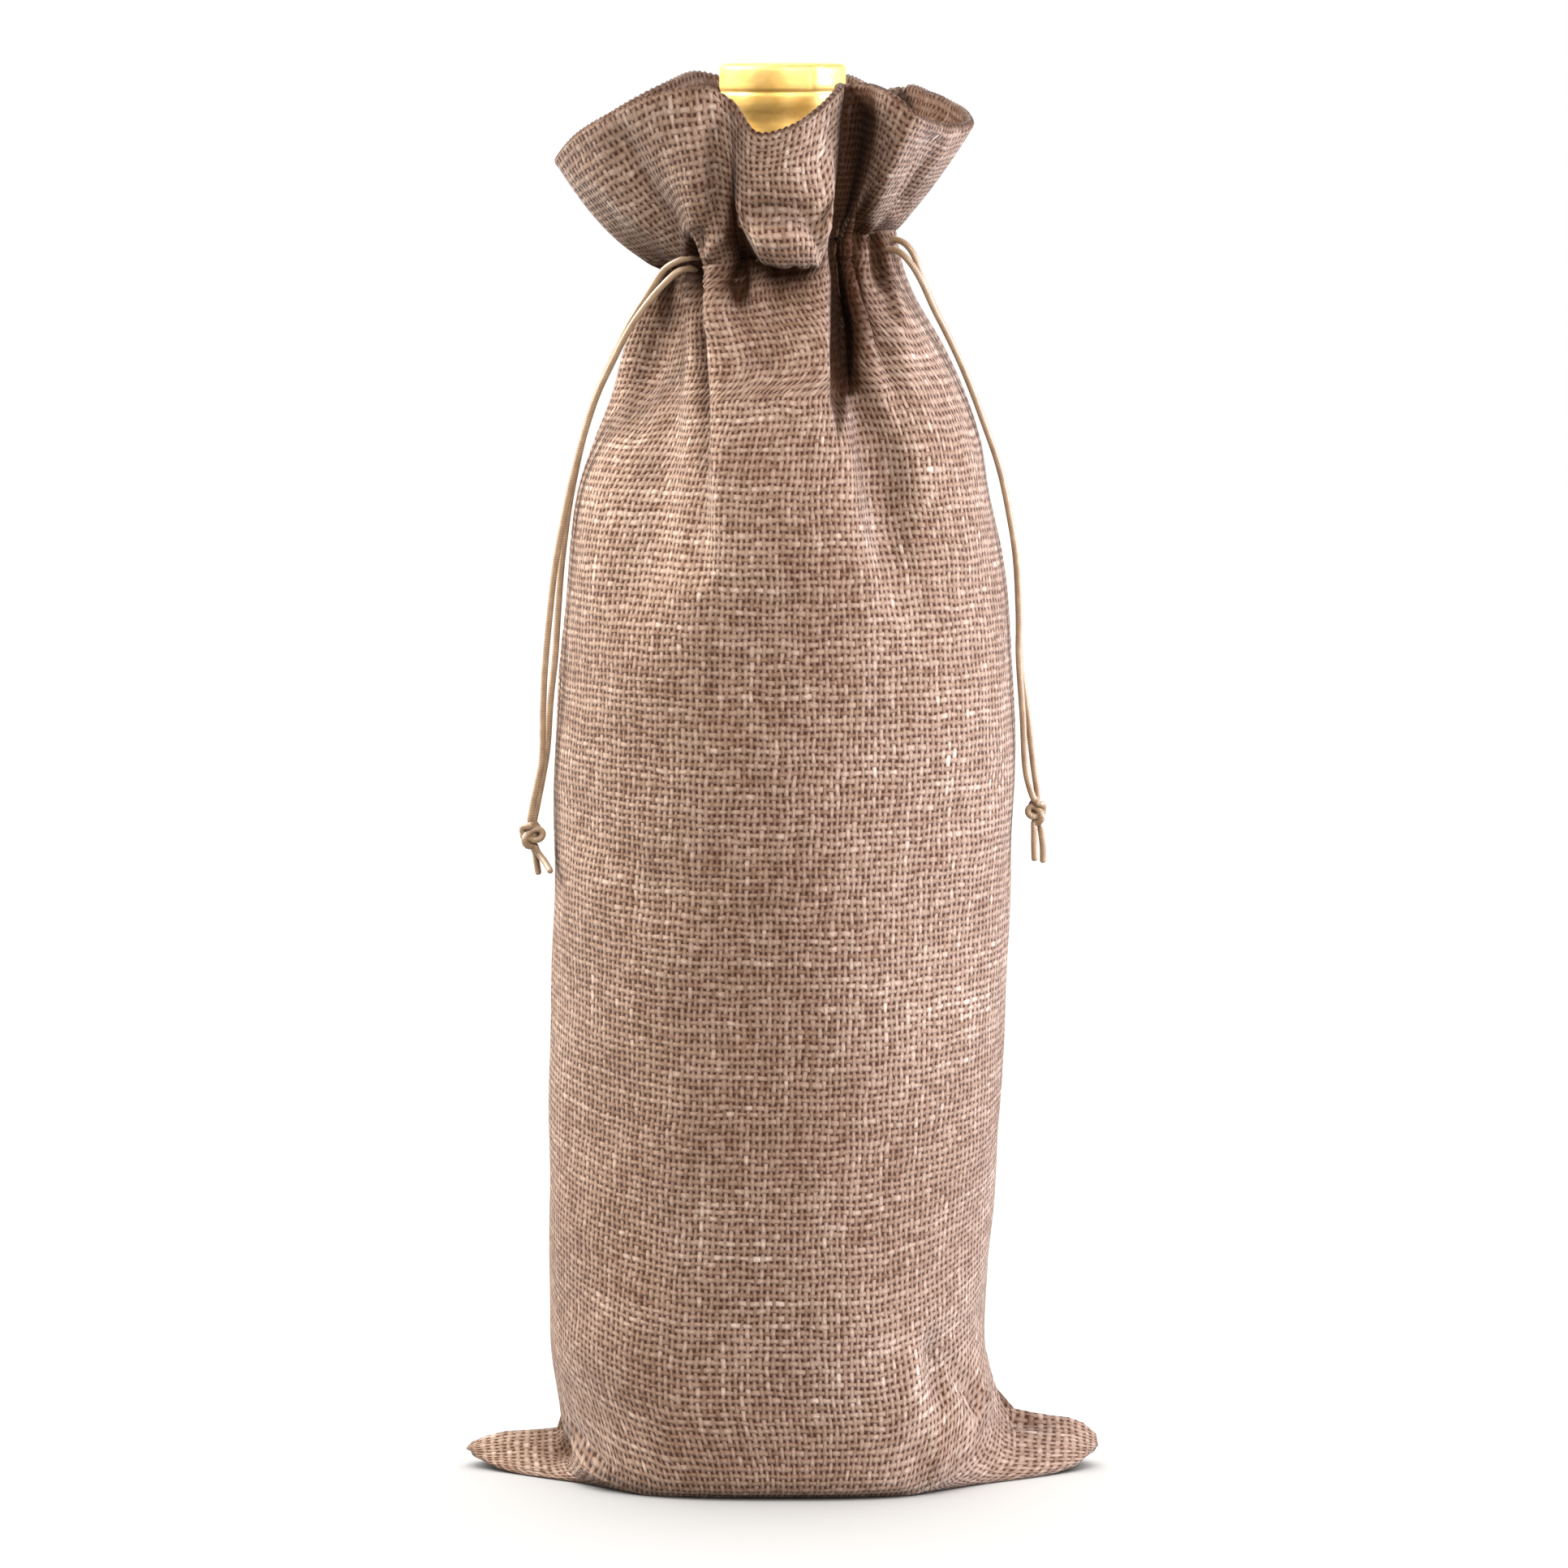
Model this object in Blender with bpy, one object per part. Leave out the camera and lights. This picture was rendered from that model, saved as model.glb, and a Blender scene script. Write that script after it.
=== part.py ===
"""A burlap bottle sack, drawn in at the neck by two cords and standing over a bottle.

Metres, +Z up. The origin is the middle of the sack's underside, the front faces -Y.
"""

import math

import bmesh
import bpy
import numpy as np

MM = 0.001

# Driving sizes, in millimetres.
FLAT_WIDTH = 145.0
CLOTH = 1.2
GAP = 0.35
CLOTH_TURN = 5.0
BOTTLE_RADIUS = 37.4
HEEL_RADIUS = 7.0
GATHER_HEIGHT = 276.5
GATHER_TILT = 0.17
TILT_FOOT = 225.0
TILT_OVER = 50.0
NECK_CLEAR_RADIUS = 15.9
NECK_CLEAR_FOOT = 238.0
TROUGH_SPREAD = 0.9
TROUGH_SEAM_FADE = 0.25
HEADING_DISH = 0.28
CORD_DIAMETER = 1.5

# Mesh density of the cloth: columns across each half, and where its rows lie.
HALF_COLUMNS = 32
FLOOR_ROWS = (1.6, 9.0, 17.0, 24.5, 31.0, 35.5, 39.5)
WALL_ROWS = (6, 14, 26, 45, 75, 110, 145, 175, 197, 210, 222, 233, 243, 252, 260, 267, 272, 276.5)
HEADING_ROWS = (0.13, 0.27, 0.42, 0.58, 0.74, 0.88, 1.0)
HALF_TURN_STEPS = 721
CURVE_STEPS = 40

# The wall of the sack by height: half widths to the left and right, half depth, how full
# the section is (2 is an ellipse), and how far the weave rises from the middle to each seam.
SECTION_COLUMNS = ("z", "left", "right", "depth", "fullness", "rise_left", "rise_right")
SECTIONS = (
    (0.0, 50.0, 48.5, 39.4, 2.7, 23.5, 27.0),
    (14.0, 50.0, 48.6, 39.5, 2.4, 21.0, 23.0),
    (30.0, 52.4, 46.2, 39.6, 2.2, 18.0, 18.0),
    (46.0, 52.9, 46.7, 39.6, 2.1, 15.0, 14.0),
    (91.0, 52.6, 50.0, 39.6, 2.0, 8.5, 5.0),
    (135.0, 51.9, 51.2, 39.6, 2.0, 5.0, 2.0),
    (168.0, 51.0, 52.6, 39.6, 2.0, 2.5, 0.5),
    (194.0, 49.3, 50.9, 39.6, 2.0, 0.0, 0.0),
    (212.0, 47.8, 48.5, 39.2, 2.0, 0.0, 0.0),
    (223.0, 45.7, 46.4, 37.8, 2.0, 0.0, 0.0),
    (234.0, 42.0, 44.6, 35.6, 2.0, 0.0, 0.0),
    (245.0, 37.6, 41.0, 32.8, 2.0, 0.0, 0.0),
    (256.0, 34.5, 36.0, 29.6, 2.0, 0.0, 0.0),
    (267.0, 30.3, 29.6, 26.4, 2.0, 0.0, 0.0),
    (272.0, 27.0, 27.4, 24.8, 2.0, 0.0, 0.0),
    (282.0, 25.0, 24.8, 23.6, 2.0, 0.0, 0.0),
)

# The underside and the two corner ears, by distance from the bottom fold: where each side
# seam runs (out from the middle, and above the floor), and how square the outline is.
EAR_COLUMNS = ("along", "left", "left_up", "right", "right_up", "fullness")
EARS = (
    (0.0, FLAT_WIDTH / 2, 4.4, FLAT_WIDTH / 2, 5.4, 9.0),
    (8.0, 66.0, 6.4, 67.5, 10.2, 9.0),
    (16.0, 57.5, 7.4, 60.0, 11.6, 8.0),
    (24.0, 50.2, 9.4, 51.5, 14.0, 5.6),
    (31.0, 49.8, 15.6, 48.5, 19.8, 3.8),
    (39.5, 50.6, 23.5, 47.2, 27.0, 2.7),
)
LEAST_LIFT = 0.08
EAR_SHARE = 0.16
EARS_END = 31.0
EARS_FADE = 30.0

# Troughs pressed into the neck by the gather. Each runs down from the gather, where it is
# deepest, to its foot. "across" is to the right of the middle, "wide" is on its left and right,
# and "hold" is how long it stays deep on its way down.
# Columns: side, across, foot across, foot height, wide left, wide right, depth, hold.
TROUGHS = (
    ("front", -19.8, -18.6, 206.0, 8.5, 1.7, 7.0, 1.3),
    ("front", -9.6, -8.6, 254.0, 2.2, 2.0, 6.0, 1.5),
    ("front", 0.0, -4.0, 236.0, 5.0, 5.0, 3.0, 1.0),
    ("front", 11.4, 12.4, 229.0, 1.7, 3.4, 10.0, 3.0),
    ("front", 22.2, 23.0, 200.0, 3.4, 5.0, 6.5, 1.2),
    ("back", -21.0, -27.0, 212.0, 4.0, 6.0, 7.0, 1.2),
    ("back", -12.5, -15.0, 245.0, 3.0, 3.0, 6.5, 1.5),
    ("back", -2.5, -5.0, 205.0, 4.0, 2.0, 8.5, 2.0),
    ("back", 8.0, 10.0, 240.0, 3.2, 3.0, 7.0, 1.5),
    ("back", 19.5, 25.0, 208.0, 2.4, 5.0, 7.5, 1.6),
)

# The rim of the heading, once round from its left tip across the front: x, y, z, a row for
# each crest and dip.
RIM_FRONT = (
    (-50.5, -3.0, 296.0),
    (-45.0, -16.0, 302.0),
    (-35.0, -27.0, 307.6),
    (-25.5, -33.0, 311.2),
    (-16.0, -35.0, 312.4),
    (-12.0, -33.5, 309.6),
    (-6.0, -34.5, 302.4),
    (2.5, -35.5, 304.0),
    (8.5, -33.5, 307.7),
    (13.6, -28.5, 312.0),
    (13.4, -19.0, 312.8),
    (17.0, -24.0, 312.8),
    (22.0, -31.5, 311.2),
    (29.0, -32.0, 306.6),
    (33.0, -25.0, 304.4),
    (37.5, -14.0, 303.2),
    (42.4, -3.0, 303.7),
)
RIM_BACK = (
    (41.3, 7.0, 306.3),
    (36.0, 17.0, 308.7),
    (29.5, 27.0, 311.5),
    (22.0, 24.0, 311.0),
    (15.0, 33.0, 313.6),
    (4.0, 36.0, 312.0),
    (-3.5, 28.0, 309.5),
    (-12.0, 34.0, 313.0),
    (-20.5, 35.0, 314.4),
    (-28.0, 26.0, 311.4),
    (-38.0, 20.0, 306.0),
    (-46.5, 9.0, 299.5),
)

# The middle of the front lobe, which droops over the gather: how far up the cloth (0 to 1),
# how far forward, and how high.
LOBE_COLUMNS = ("up_cloth", "forward", "height")
LOBE = (
    (0.0, 23.5, 276.0),
    (0.13, 30.0, 271.5),
    (0.30, 37.0, 275.0),
    (0.44, 36.0, 281.5),
    (0.56, 33.0, 287.0),
    (0.74, 34.5, 294.0),
    (1.0, 35.0, 303.0),
)
LOBE_SIDES = (-13.0, 14.0)
LOBE_RIM_FORWARD = 26.0
LOBE_WALL = 3.5
LOBE_ROUNDING = 8.0
LOBE_FULL_WIDTH = 0.3
LOBE_FREE = 0.6

# The bottle and the foil over its mouth: height and radius, from the heel up.
BOTTLE_PROFILE = (
    (190.0, 37.4), (203.0, 36.0), (213.0, 31.6), (221.0, 25.0), (229.0, 19.0),
    (238.0, 15.2), (250.0, 13.6), (270.0, 12.7), (306.0, 12.0), (308.6, 13.2),
    (316.0, 13.2),
)
FOIL = 0.5
FOIL_EDGE = 0.8
FOIL_FOOT = 256.0
FOIL_TOP = 317.9
ROUND_STEPS = 32

# Where the cords run outside the cloth, from the channel down to the knot.
CORD_ROUTES = {
    "cord_left_back": (
        (-20.8, -12.2, 275.2), (-23.6, -11.2, 274.3), (-26.7, -9.2, 272.0), (-30.2, -8.2, 266.6),
        (-33.8, -7.4, 260.9), (-36.9, -6.4, 254.7), (-40.2, -5.4, 247.6), (-43.9, -4.4, 237.2),
        (-47.2, -3.8, 222.6), (-49.3, -3.4, 208.0), (-50.3, -3.4, 196.0), (-51.0, -3.8, 185.6),
        (-52.1, -4.4, 175.3), (-52.8, -4.8, 165.0), (-54.1, -4.9, 157.2), (-55.8, -5.0, 148.7),
    ),
    "cord_left_front": (
        (-20.6, -10.5, 272.8), (-23.4, -12.0, 272.0), (-27.2, -12.0, 268.4), (-30.6, -11.4, 264.3),
        (-34.2, -10.4, 259.0), (-38.0, -9.2, 251.6), (-41.6, -8.0, 243.8), (-44.9, -7.2, 233.4),
        (-48.0, -6.8, 221.0), (-50.7, -6.8, 207.0), (-52.1, -6.8, 195.2), (-53.2, -6.9, 183.4),
        (-53.7, -7.0, 173.1), (-53.9, -7.0, 163.0), (-55.2, -7.0, 156.4), (-56.7, -6.9, 148.9),
    ),
    "cord_right_back": (
        (24.8, -2.9, 279.0), (27.2, -4.6, 278.2), (29.3, -5.6, 275.6), (31.0, -6.0, 270.8),
        (33.7, -6.0, 264.3), (36.9, -5.8, 257.8), (40.7, -5.2, 249.4), (44.9, -4.6, 238.7),
        (48.6, -4.2, 227.8), (51.0, -4.0, 217.0), (52.4, -4.0, 207.0), (53.0, -4.0, 196.0),
        (53.3, -4.2, 185.6), (55.1, -4.6, 172.5), (56.4, -4.8, 161.4), (57.4, -5.0, 154.0),
    ),
    "cord_right_front": (
        (22.9, -5.0, 276.9), (25.9, -7.6, 276.4), (28.5, -9.2, 273.9), (30.9, -9.4, 270.0),
        (33.7, -9.0, 263.9), (36.8, -8.4, 257.8), (40.7, -7.8, 249.5), (44.8, -7.2, 238.8),
        (48.5, -6.8, 228.1), (50.8, -6.8, 217.4), (52.4, -6.8, 207.3), (53.0, -6.8, 196.0),
        (53.0, -6.8, 185.6), (53.9, -6.9, 172.6), (54.6, -7.0, 160.4), (56.4, -6.9, 153.75),
    ),
}
TAIL_ROUTES = {
    "tail_left_back": ((-55.7, -5.0, 141.7), (-55.3, -4.8, 138.8), (-54.9, -4.6, 136.3)),
    "tail_left_front": ((-55.0, -6.8, 141.6), (-53.4, -8.8, 139.8), (-51.9, -11.4, 137.7)),
    "tail_right_back": ((58.0, -5.1, 147.2), (58.6, -4.8, 142.8), (58.7, -4.6, 139.0)),
    "tail_right_front": ((56.6, -6.8, 147.1), (56.6, -7.0, 143.4), (56.7, -7.2, 139.7)),
}

# Each knot's outer shape: its middle and its half sizes.
KNOTS = {
    "knot_left": ((-56.4, -6.0, 145.2), (3.4, 3.0, 3.4)),
    "knot_right": ((57.1, -6.0, 150.5), (2.6, 2.8, 3.2)),
}


def column(table, names, name):
    return np.array([row[names.index(name)] for row in table], float)


def through(at, knots, values):
    """A smooth curve through the values at the knots, read at one or many places."""
    at = np.clip(at, knots[0], knots[-1])
    slopes = np.gradient(values, knots)
    k = np.clip(np.searchsorted(knots, at, side="right") - 1, 0, len(knots) - 2)
    width = knots[k + 1] - knots[k]
    t = (at - knots[k]) / width
    rise = values[k + 1] - values[k]
    a = slopes[k] * width - rise
    b = rise - slopes[k + 1] * width
    return values[k] + t * rise + t * (1 - t) * ((1 - t) * a + t * b)


def section(name, z):
    return through(z, column(SECTIONS, SECTION_COLUMNS, "z"), column(SECTIONS, SECTION_COLUMNS, name))


def ear(name, along):
    return through(along, column(EARS, EAR_COLUMNS, "along"), column(EARS, EAR_COLUMNS, name))


def ease(x):
    x = np.clip(x, 0.0, 1.0)
    return x * x * (3 - 2 * x)


def lengths(points):
    """How far along the curve through the points each one lies, from 0 to 1."""
    steps = np.linalg.norm(np.diff(points, axis=0), axis=1)
    far = np.concatenate([[0.0], np.cumsum(steps)])
    return far / far[-1]


def read_at(points, shares):
    """The curve through the points, read at shares of its own length."""
    far = lengths(points)
    return np.stack([np.interp(shares, far, points[:, axis]) for axis in range(3)], axis=1)


def spaced(points, count):
    return read_at(points, np.linspace(0.0, 1.0, count))


def trough_depths(x, z, side):
    """How far in the gather's troughs press the cloth at these places."""
    depth = np.zeros_like(x)
    for where, across, foot_across, foot_z, wide_left, wide_right, deep, hold in TROUGHS:
        if where != side:
            continue
        down = np.clip((GATHER_HEIGHT - z) / (GATHER_HEIGHT - foot_z), 0.0, 1.0)
        middle = across + (foot_across - across) * down
        spread = 1.0 + TROUGH_SPREAD * down
        wide = np.where(x < middle, wide_left, wide_right) * spread
        depth += deep * (1 - down**hold) * np.exp(-(((x - middle) / wide) ** 2))
    return depth


def half_ring(along, side):
    """One half of the sack's section, from the left seam across the front, or back to it."""
    angle = np.radians(np.linspace(-90.0, 90.0, HALF_TURN_STEPS))
    facing = -1.0
    if side == "back":
        angle = angle[::-1]
        facing = 1.0
    floor_end = FLOOR_ROWS[-1] - CLOTH_TURN
    turn = np.clip((along - floor_end) / CLOTH_TURN, 0.0, math.pi / 2)
    middle_y = min(along, floor_end) + CLOTH_TURN * math.sin(turn)
    middle_z = CLOTH_TURN * (1 - math.cos(turn))
    middle_z += max(0.0, along - floor_end - CLOTH_TURN * math.pi / 2)
    on_floor = along < FLOOR_ROWS[-1]
    fullness = ear("fullness", along) if on_floor else section("fullness", middle_z)
    across = np.abs(np.sin(angle)) ** (2 / fullness)
    deep = np.abs(np.cos(angle)) ** (2 / fullness)
    lift = np.clip((1 - deep - LEAST_LIFT) / (1 - LEAST_LIFT), 0.0, 1.0)
    left = angle < 0
    if on_floor:
        seam_up = np.where(left, ear("left_up", along), ear("right_up", along))
        z = middle_z + (seam_up - middle_z) * lift
        x = np.where(left, -ear("left", along), ear("right", along)) * across
        return np.stack([x, facing * middle_y * deep, z], axis=1)
    rise = np.where(left, section("rise_left", middle_z), section("rise_right", middle_z))
    z = middle_z + rise * lift
    x = np.where(left, -section("left", z), section("right", z)) * across
    z = z + GATHER_TILT * x * ease((middle_z - TILT_FOOT) / TILT_OVER)
    x = np.where(left, -section("left", z), section("right", z)) * across
    y = facing * section("depth", z) * deep
    # The troughs press straight in towards the neck, and stop short of it.
    reach = np.maximum(np.hypot(x, y), 1e-6)
    pressed = reach - trough_depths(x, z, side) * ease(deep / TROUGH_SEAM_FADE)
    pressed = np.where(z > NECK_CLEAR_FOOT, np.maximum(pressed, NECK_CLEAR_RADIUS), pressed)
    return np.stack([x * pressed / reach, y * pressed / reach, z], axis=1)


def half_row(along, side):
    """The half section read at each column. Low down, a column follows the fold of each ear."""
    points = half_ring(along, side)
    even = np.linspace(0.0, 1.0, HALF_COLUMNS + 1)
    far = lengths(points)
    corners = (far[HALF_TURN_STEPS // 4], far[3 * HALF_TURN_STEPS // 4])
    folded = np.interp(even, (0.0, EAR_SHARE, 1 - EAR_SHARE, 1.0), (0.0, *corners, 1.0))
    follow = 1 - ease((along - EARS_END) / EARS_FADE)
    return read_at(points, even + (folded - even) * follow)


def wall_along(z):
    """Distance from the bottom fold, up the middle, of a height on the wall."""
    return FLOOR_ROWS[-1] + CLOTH_TURN * (math.pi / 2 - 2) + z


def smooth_curve(points, count, closed=False):
    """Points read from a Catmull-Rom curve through the given ones."""
    points = np.array(points, float)
    if closed:
        points = np.vstack([points[-1:], points, points[:2]])
    else:
        points = np.vstack([2 * points[0] - points[1], points, 2 * points[-1] - points[-2]])
    spans = len(points) - 3
    at = np.linspace(0, spans, count)
    k = np.minimum(at.astype(int), spans - 1)
    t = (at - k)[:, None]
    a, b, c, d = points[k], points[k + 1], points[k + 2], points[k + 3]
    return 0.5 * (2 * b + (c - a) * t + (2 * a - 5 * b + 4 * c - d) * t**2 + (3 * b - a - 3 * c + d) * t**3)


def rim_halves():
    """The rim's front from the left tip to the right, and its back from right to left."""
    rim = RIM_FRONT + RIM_BACK
    curve = smooth_curve(rim, len(rim) * CURVE_STEPS + 1, closed=True)
    tip = (len(RIM_FRONT) - 1) * CURVE_STEPS
    return {"front": curve[: tip + 1], "back": curve[tip:]}


def heading_rows(gather, rim, side):
    """Rows of the heading, from the gather up to the rim."""
    lobe = {name: column(LOBE, LOBE_COLUMNS, name) for name in LOBE_COLUMNS}
    rows = []
    for up in HEADING_ROWS:
        row = gather + (rim - gather) * up
        row[:, 2] = gather[:, 2] + (rim[:, 2] - gather[:, 2]) * up * (1 - HEADING_DISH * (1 - up))
        if side == "front":
            front = rim[:, 1] < -LOBE_RIM_FORWARD
            from_side = np.minimum(rim[:, 0] - LOBE_SIDES[0], LOBE_SIDES[1] - rim[:, 0]) * front
            fade = 1 - ease((up - LOBE_FREE) / (1 - LOBE_FREE))
            stands = ease(from_side / LOBE_WALL) * fade
            droops = ease(from_side / LOBE_ROUNDING) * fade
            widens = (rim[:, 0] - row[:, 0]) * ease(up / LOBE_FULL_WIDTH)
            row[:, 0] += widens * ease(from_side / LOBE_WALL)
            row[:, 1] += (-through(up, lobe["up_cloth"], lobe["forward"]) - row[:, 1]) * stands
            row[:, 2] += (through(up, lobe["up_cloth"], lobe["height"]) - row[:, 2]) * droops
        rows.append(row)
    return rows


def cloth_rows():
    """Every row of the cloth's outer face, as closed rings."""
    alongs = list(FLOOR_ROWS) + [wall_along(z) for z in WALL_ROWS]
    rim = rim_halves()
    halves = {}
    for side in ("front", "back"):
        rows = [half_row(along, side) for along in alongs]
        halves[side] = rows + heading_rows(rows[-1], spaced(rim[side], HALF_COLUMNS + 1), side)
    return [np.vstack([front[:-1], back[:-1]]) for front, back in zip(halves["front"], halves["back"])]


def metres(point):
    return tuple(float(value) * MM for value in point)


def material(name, rgb, roughness, metallic=0.0):
    made = bpy.data.materials.new(name)
    made.use_nodes = True
    shader = made.node_tree.nodes["Principled BSDF"]
    shader.inputs["Base Color"].default_value = (*rgb, 1.0)
    shader.inputs["Roughness"].default_value = roughness
    shader.inputs["Metallic"].default_value = metallic
    return made


def add_object(name, bm, finish):
    mesh = bpy.data.meshes.new(name)
    bm.to_mesh(mesh)
    bm.free()
    mesh.materials.append(finish)
    mesh.shade_smooth()
    made = bpy.data.objects.new(name, mesh)
    bpy.context.collection.objects.link(made)
    return made


def add_sack(finish):
    """One skin of cloth, closed along the bottom fold and open at the rim."""
    rows = cloth_rows()
    bm = bmesh.new()
    rings = [[bm.verts.new(metres(point)) for point in row] for row in rows]
    count = len(rings[0])
    for lower, upper in zip(rings, rings[1:]):
        for j in range(count):
            k = (j + 1) % count
            bm.faces.new((lower[j], lower[k], upper[k], upper[j]))
    bottom = rings[0]
    for j in range(HALF_COLUMNS):
        corners = [bottom[j], bottom[-j % count], bottom[-(j + 1) % count], bottom[j + 1]]
        bm.faces.new(list(dict.fromkeys(corners)))
    sack = add_object("sack", bm, finish)
    wall = sack.modifiers.new("Cloth thickness", "SOLIDIFY")
    wall.thickness = CLOTH * MM
    wall.offset = -1.0
    return sack


def add_turned(name, profile, finish):
    """A solid of revolution from (height, radius) pairs, closed on the axis at both ends."""
    bm = bmesh.new()
    rings = []
    for height, radius in profile:
        if radius == 0:
            rings.append([bm.verts.new((0.0, 0.0, height * MM))])
            continue
        turns = [2 * math.pi * k / ROUND_STEPS for k in range(ROUND_STEPS)]
        rings.append([
            bm.verts.new((radius * math.cos(a) * MM, radius * math.sin(a) * MM, height * MM)) for a in turns
        ])
    for lower, upper in zip(rings, rings[1:]):
        for k in range(ROUND_STEPS):
            n = (k + 1) % ROUND_STEPS
            corners = [lower[k % len(lower)], lower[n % len(lower)]]
            corners += [upper[n % len(upper)], upper[k % len(upper)]]
            bm.faces.new(list(dict.fromkeys(corners)))
    bmesh.ops.recalc_face_normals(bm, faces=bm.faces)
    return add_object(name, bm, finish)


def add_bottle(finish):
    foot = CLOTH + GAP
    heel = [
        (foot + HEEL_RADIUS * (1 - math.cos(a)), BOTTLE_RADIUS - HEEL_RADIUS + HEEL_RADIUS * math.sin(a))
        for a in (0.0, math.pi / 6, math.pi / 3, math.pi / 2)
    ]
    profile = [(foot, 0.0)] + heel + list(BOTTLE_PROFILE)
    return add_turned("bottle", profile + [(BOTTLE_PROFILE[-1][0], 0.0)], finish)


def add_capsule(finish):
    """A foil cup over the mouth and neck: its inside from the top down, then its outside up again."""
    foot_radius = float(np.interp(FOIL_FOOT, *zip(*BOTTLE_PROFILE)))
    mouth_height, mouth_radius = BOTTLE_PROFILE[-1]
    neck = [(FOIL_FOOT, foot_radius)] + [row for row in BOTTLE_PROFILE[:-1] if row[0] > FOIL_FOOT]
    inside = [(mouth_height + GAP, 0.0), (mouth_height + GAP, mouth_radius + GAP)]
    inside += [(height, radius + GAP) for height, radius in reversed(neck)]
    outside = [(height, radius + GAP + FOIL) for height, radius in neck]
    shoulder = mouth_radius + GAP + FOIL
    outside += [(FOIL_TOP - FOIL_EDGE, shoulder), (FOIL_TOP, shoulder - FOIL_EDGE), (FOIL_TOP, 0.0)]
    return add_turned("capsule", inside + outside, finish)


def add_cord(name, route, finish):
    """A round cord on a smooth curve through its route."""
    points = spaced(smooth_curve(route, len(route) * CURVE_STEPS), route_steps(route))
    curve = bpy.data.curves.new(name, "CURVE")
    curve.dimensions = "3D"
    curve.bevel_depth = CORD_DIAMETER / 2 * MM
    curve.bevel_resolution = 2
    curve.use_fill_caps = True
    spline = curve.splines.new("POLY")
    spline.points.add(len(points) - 1)
    for target, point in zip(spline.points, points):
        target.co = (*metres(point), 1.0)
    curve.materials.append(finish)
    made = bpy.data.objects.new(name, curve)
    bpy.context.collection.objects.link(made)
    return made


def route_steps(route):
    """A point about every three diameters."""
    length = np.linalg.norm(np.diff(np.array(route), axis=0), axis=1).sum()
    return max(3, int(length / (3 * CORD_DIAMETER)) + 1)


def add_knot(name, middle, half_sizes, finish):
    """The outer shape of an overhand knot drawn tight."""
    bm = bmesh.new()
    bmesh.ops.create_icosphere(bm, subdivisions=2, radius=1.0)
    for vert in bm.verts:
        for axis in range(3):
            vert.co[axis] = (middle[axis] + vert.co[axis] * half_sizes[axis]) * MM
    return add_object(name, bm, finish)


for old in list(bpy.data.objects):
    bpy.data.objects.remove(old, do_unlink=True)

burlap = material("burlap", (0.36, 0.24, 0.17), 0.95)
cord_finish = material("twisted cord", (0.62, 0.48, 0.33), 0.6)
glass = material("green glass", (0.02, 0.05, 0.02), 0.1)
foil = material("gold foil", (0.85, 0.62, 0.22), 0.3, 1.0)

add_sack(burlap)
add_bottle(glass)
add_capsule(foil)
for cord_name, cord_route in {**CORD_ROUTES, **TAIL_ROUTES}.items():
    add_cord(cord_name, cord_route, cord_finish)
for knot_name, (knot_middle, knot_sizes) in KNOTS.items():
    add_knot(knot_name, knot_middle, knot_sizes, cord_finish)
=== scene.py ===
"""A burlap bottle sack, drawn in at the neck by two knotted cords, standing over a foil-topped bottle.

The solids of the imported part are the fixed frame, and this script gives them their looks. Lengths in
the tables are millimetres, and MM turns them into metres. +Z is up and the front faces -Y.
"""

import math

import bpy
import numpy as np
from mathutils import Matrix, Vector
from mathutils.bvhtree import BVHTree


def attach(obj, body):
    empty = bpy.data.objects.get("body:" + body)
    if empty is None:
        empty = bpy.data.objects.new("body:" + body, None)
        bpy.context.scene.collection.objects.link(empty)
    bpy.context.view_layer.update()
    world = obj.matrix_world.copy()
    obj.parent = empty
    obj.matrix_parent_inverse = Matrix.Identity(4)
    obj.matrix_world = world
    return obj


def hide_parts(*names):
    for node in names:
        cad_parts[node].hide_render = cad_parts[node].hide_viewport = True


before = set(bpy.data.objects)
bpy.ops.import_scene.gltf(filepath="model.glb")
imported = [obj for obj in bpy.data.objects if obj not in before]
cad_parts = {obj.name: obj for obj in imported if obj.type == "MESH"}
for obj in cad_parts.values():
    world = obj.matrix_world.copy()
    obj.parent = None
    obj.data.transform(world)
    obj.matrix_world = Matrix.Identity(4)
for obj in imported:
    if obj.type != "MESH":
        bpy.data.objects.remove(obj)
bpy.ops.object.select_all(action="DESELECT")
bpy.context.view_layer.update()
MM = 0.001


# The view. The sack was photographed from 1.6 m in front and a little above its mouth, with a
# long lens, so its upright sides stay nearly parallel.
PHOTO_SIDE = 1932
AWAY = 1.60
EYE_HEIGHT = 0.340
LOOKS_DOWN = 6.5507
LENS_IN_PIXELS = 8800
SENSOR_MM = 36.0
MIDDLE_IN_PIXELS = 964

camera = bpy.data.cameras.new("camera")
camera.sensor_fit = "HORIZONTAL"
camera.sensor_width = SENSOR_MM
camera.lens = SENSOR_MM * LENS_IN_PIXELS / PHOTO_SIDE
camera.shift_x = (PHOTO_SIDE / 2 - MIDDLE_IN_PIXELS) / PHOTO_SIDE
camera_object = bpy.data.objects.new("camera", camera)
camera_object.location = (0.0, -AWAY, EYE_HEIGHT)
camera_object.rotation_euler = (math.radians(90 - LOOKS_DOWN), 0.0, 0.0)
bpy.context.collection.objects.link(camera_object)
bpy.context.scene.camera = camera_object


# The drawstrings. Each side has one satin cord, whose core is wound with fine thread. It runs through
# the channel, so two strands leave the cloth at the neck. They hang down the side seam, are tied
# together in an overhand knot, and end in two short cut tails.
CORD_DIAMETER = 1.5
CORD_STARTS = 2
CORD_LAY = 1.16
CORD_GROOVE = 0.035
CORD_SIDES = 14
CORD_STEP = 0.12
CORD_EASING = 1.3
CORD_END = 0.6
CORD_END_TAPER = 0.35
CURVE_STEPS = 40

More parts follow.
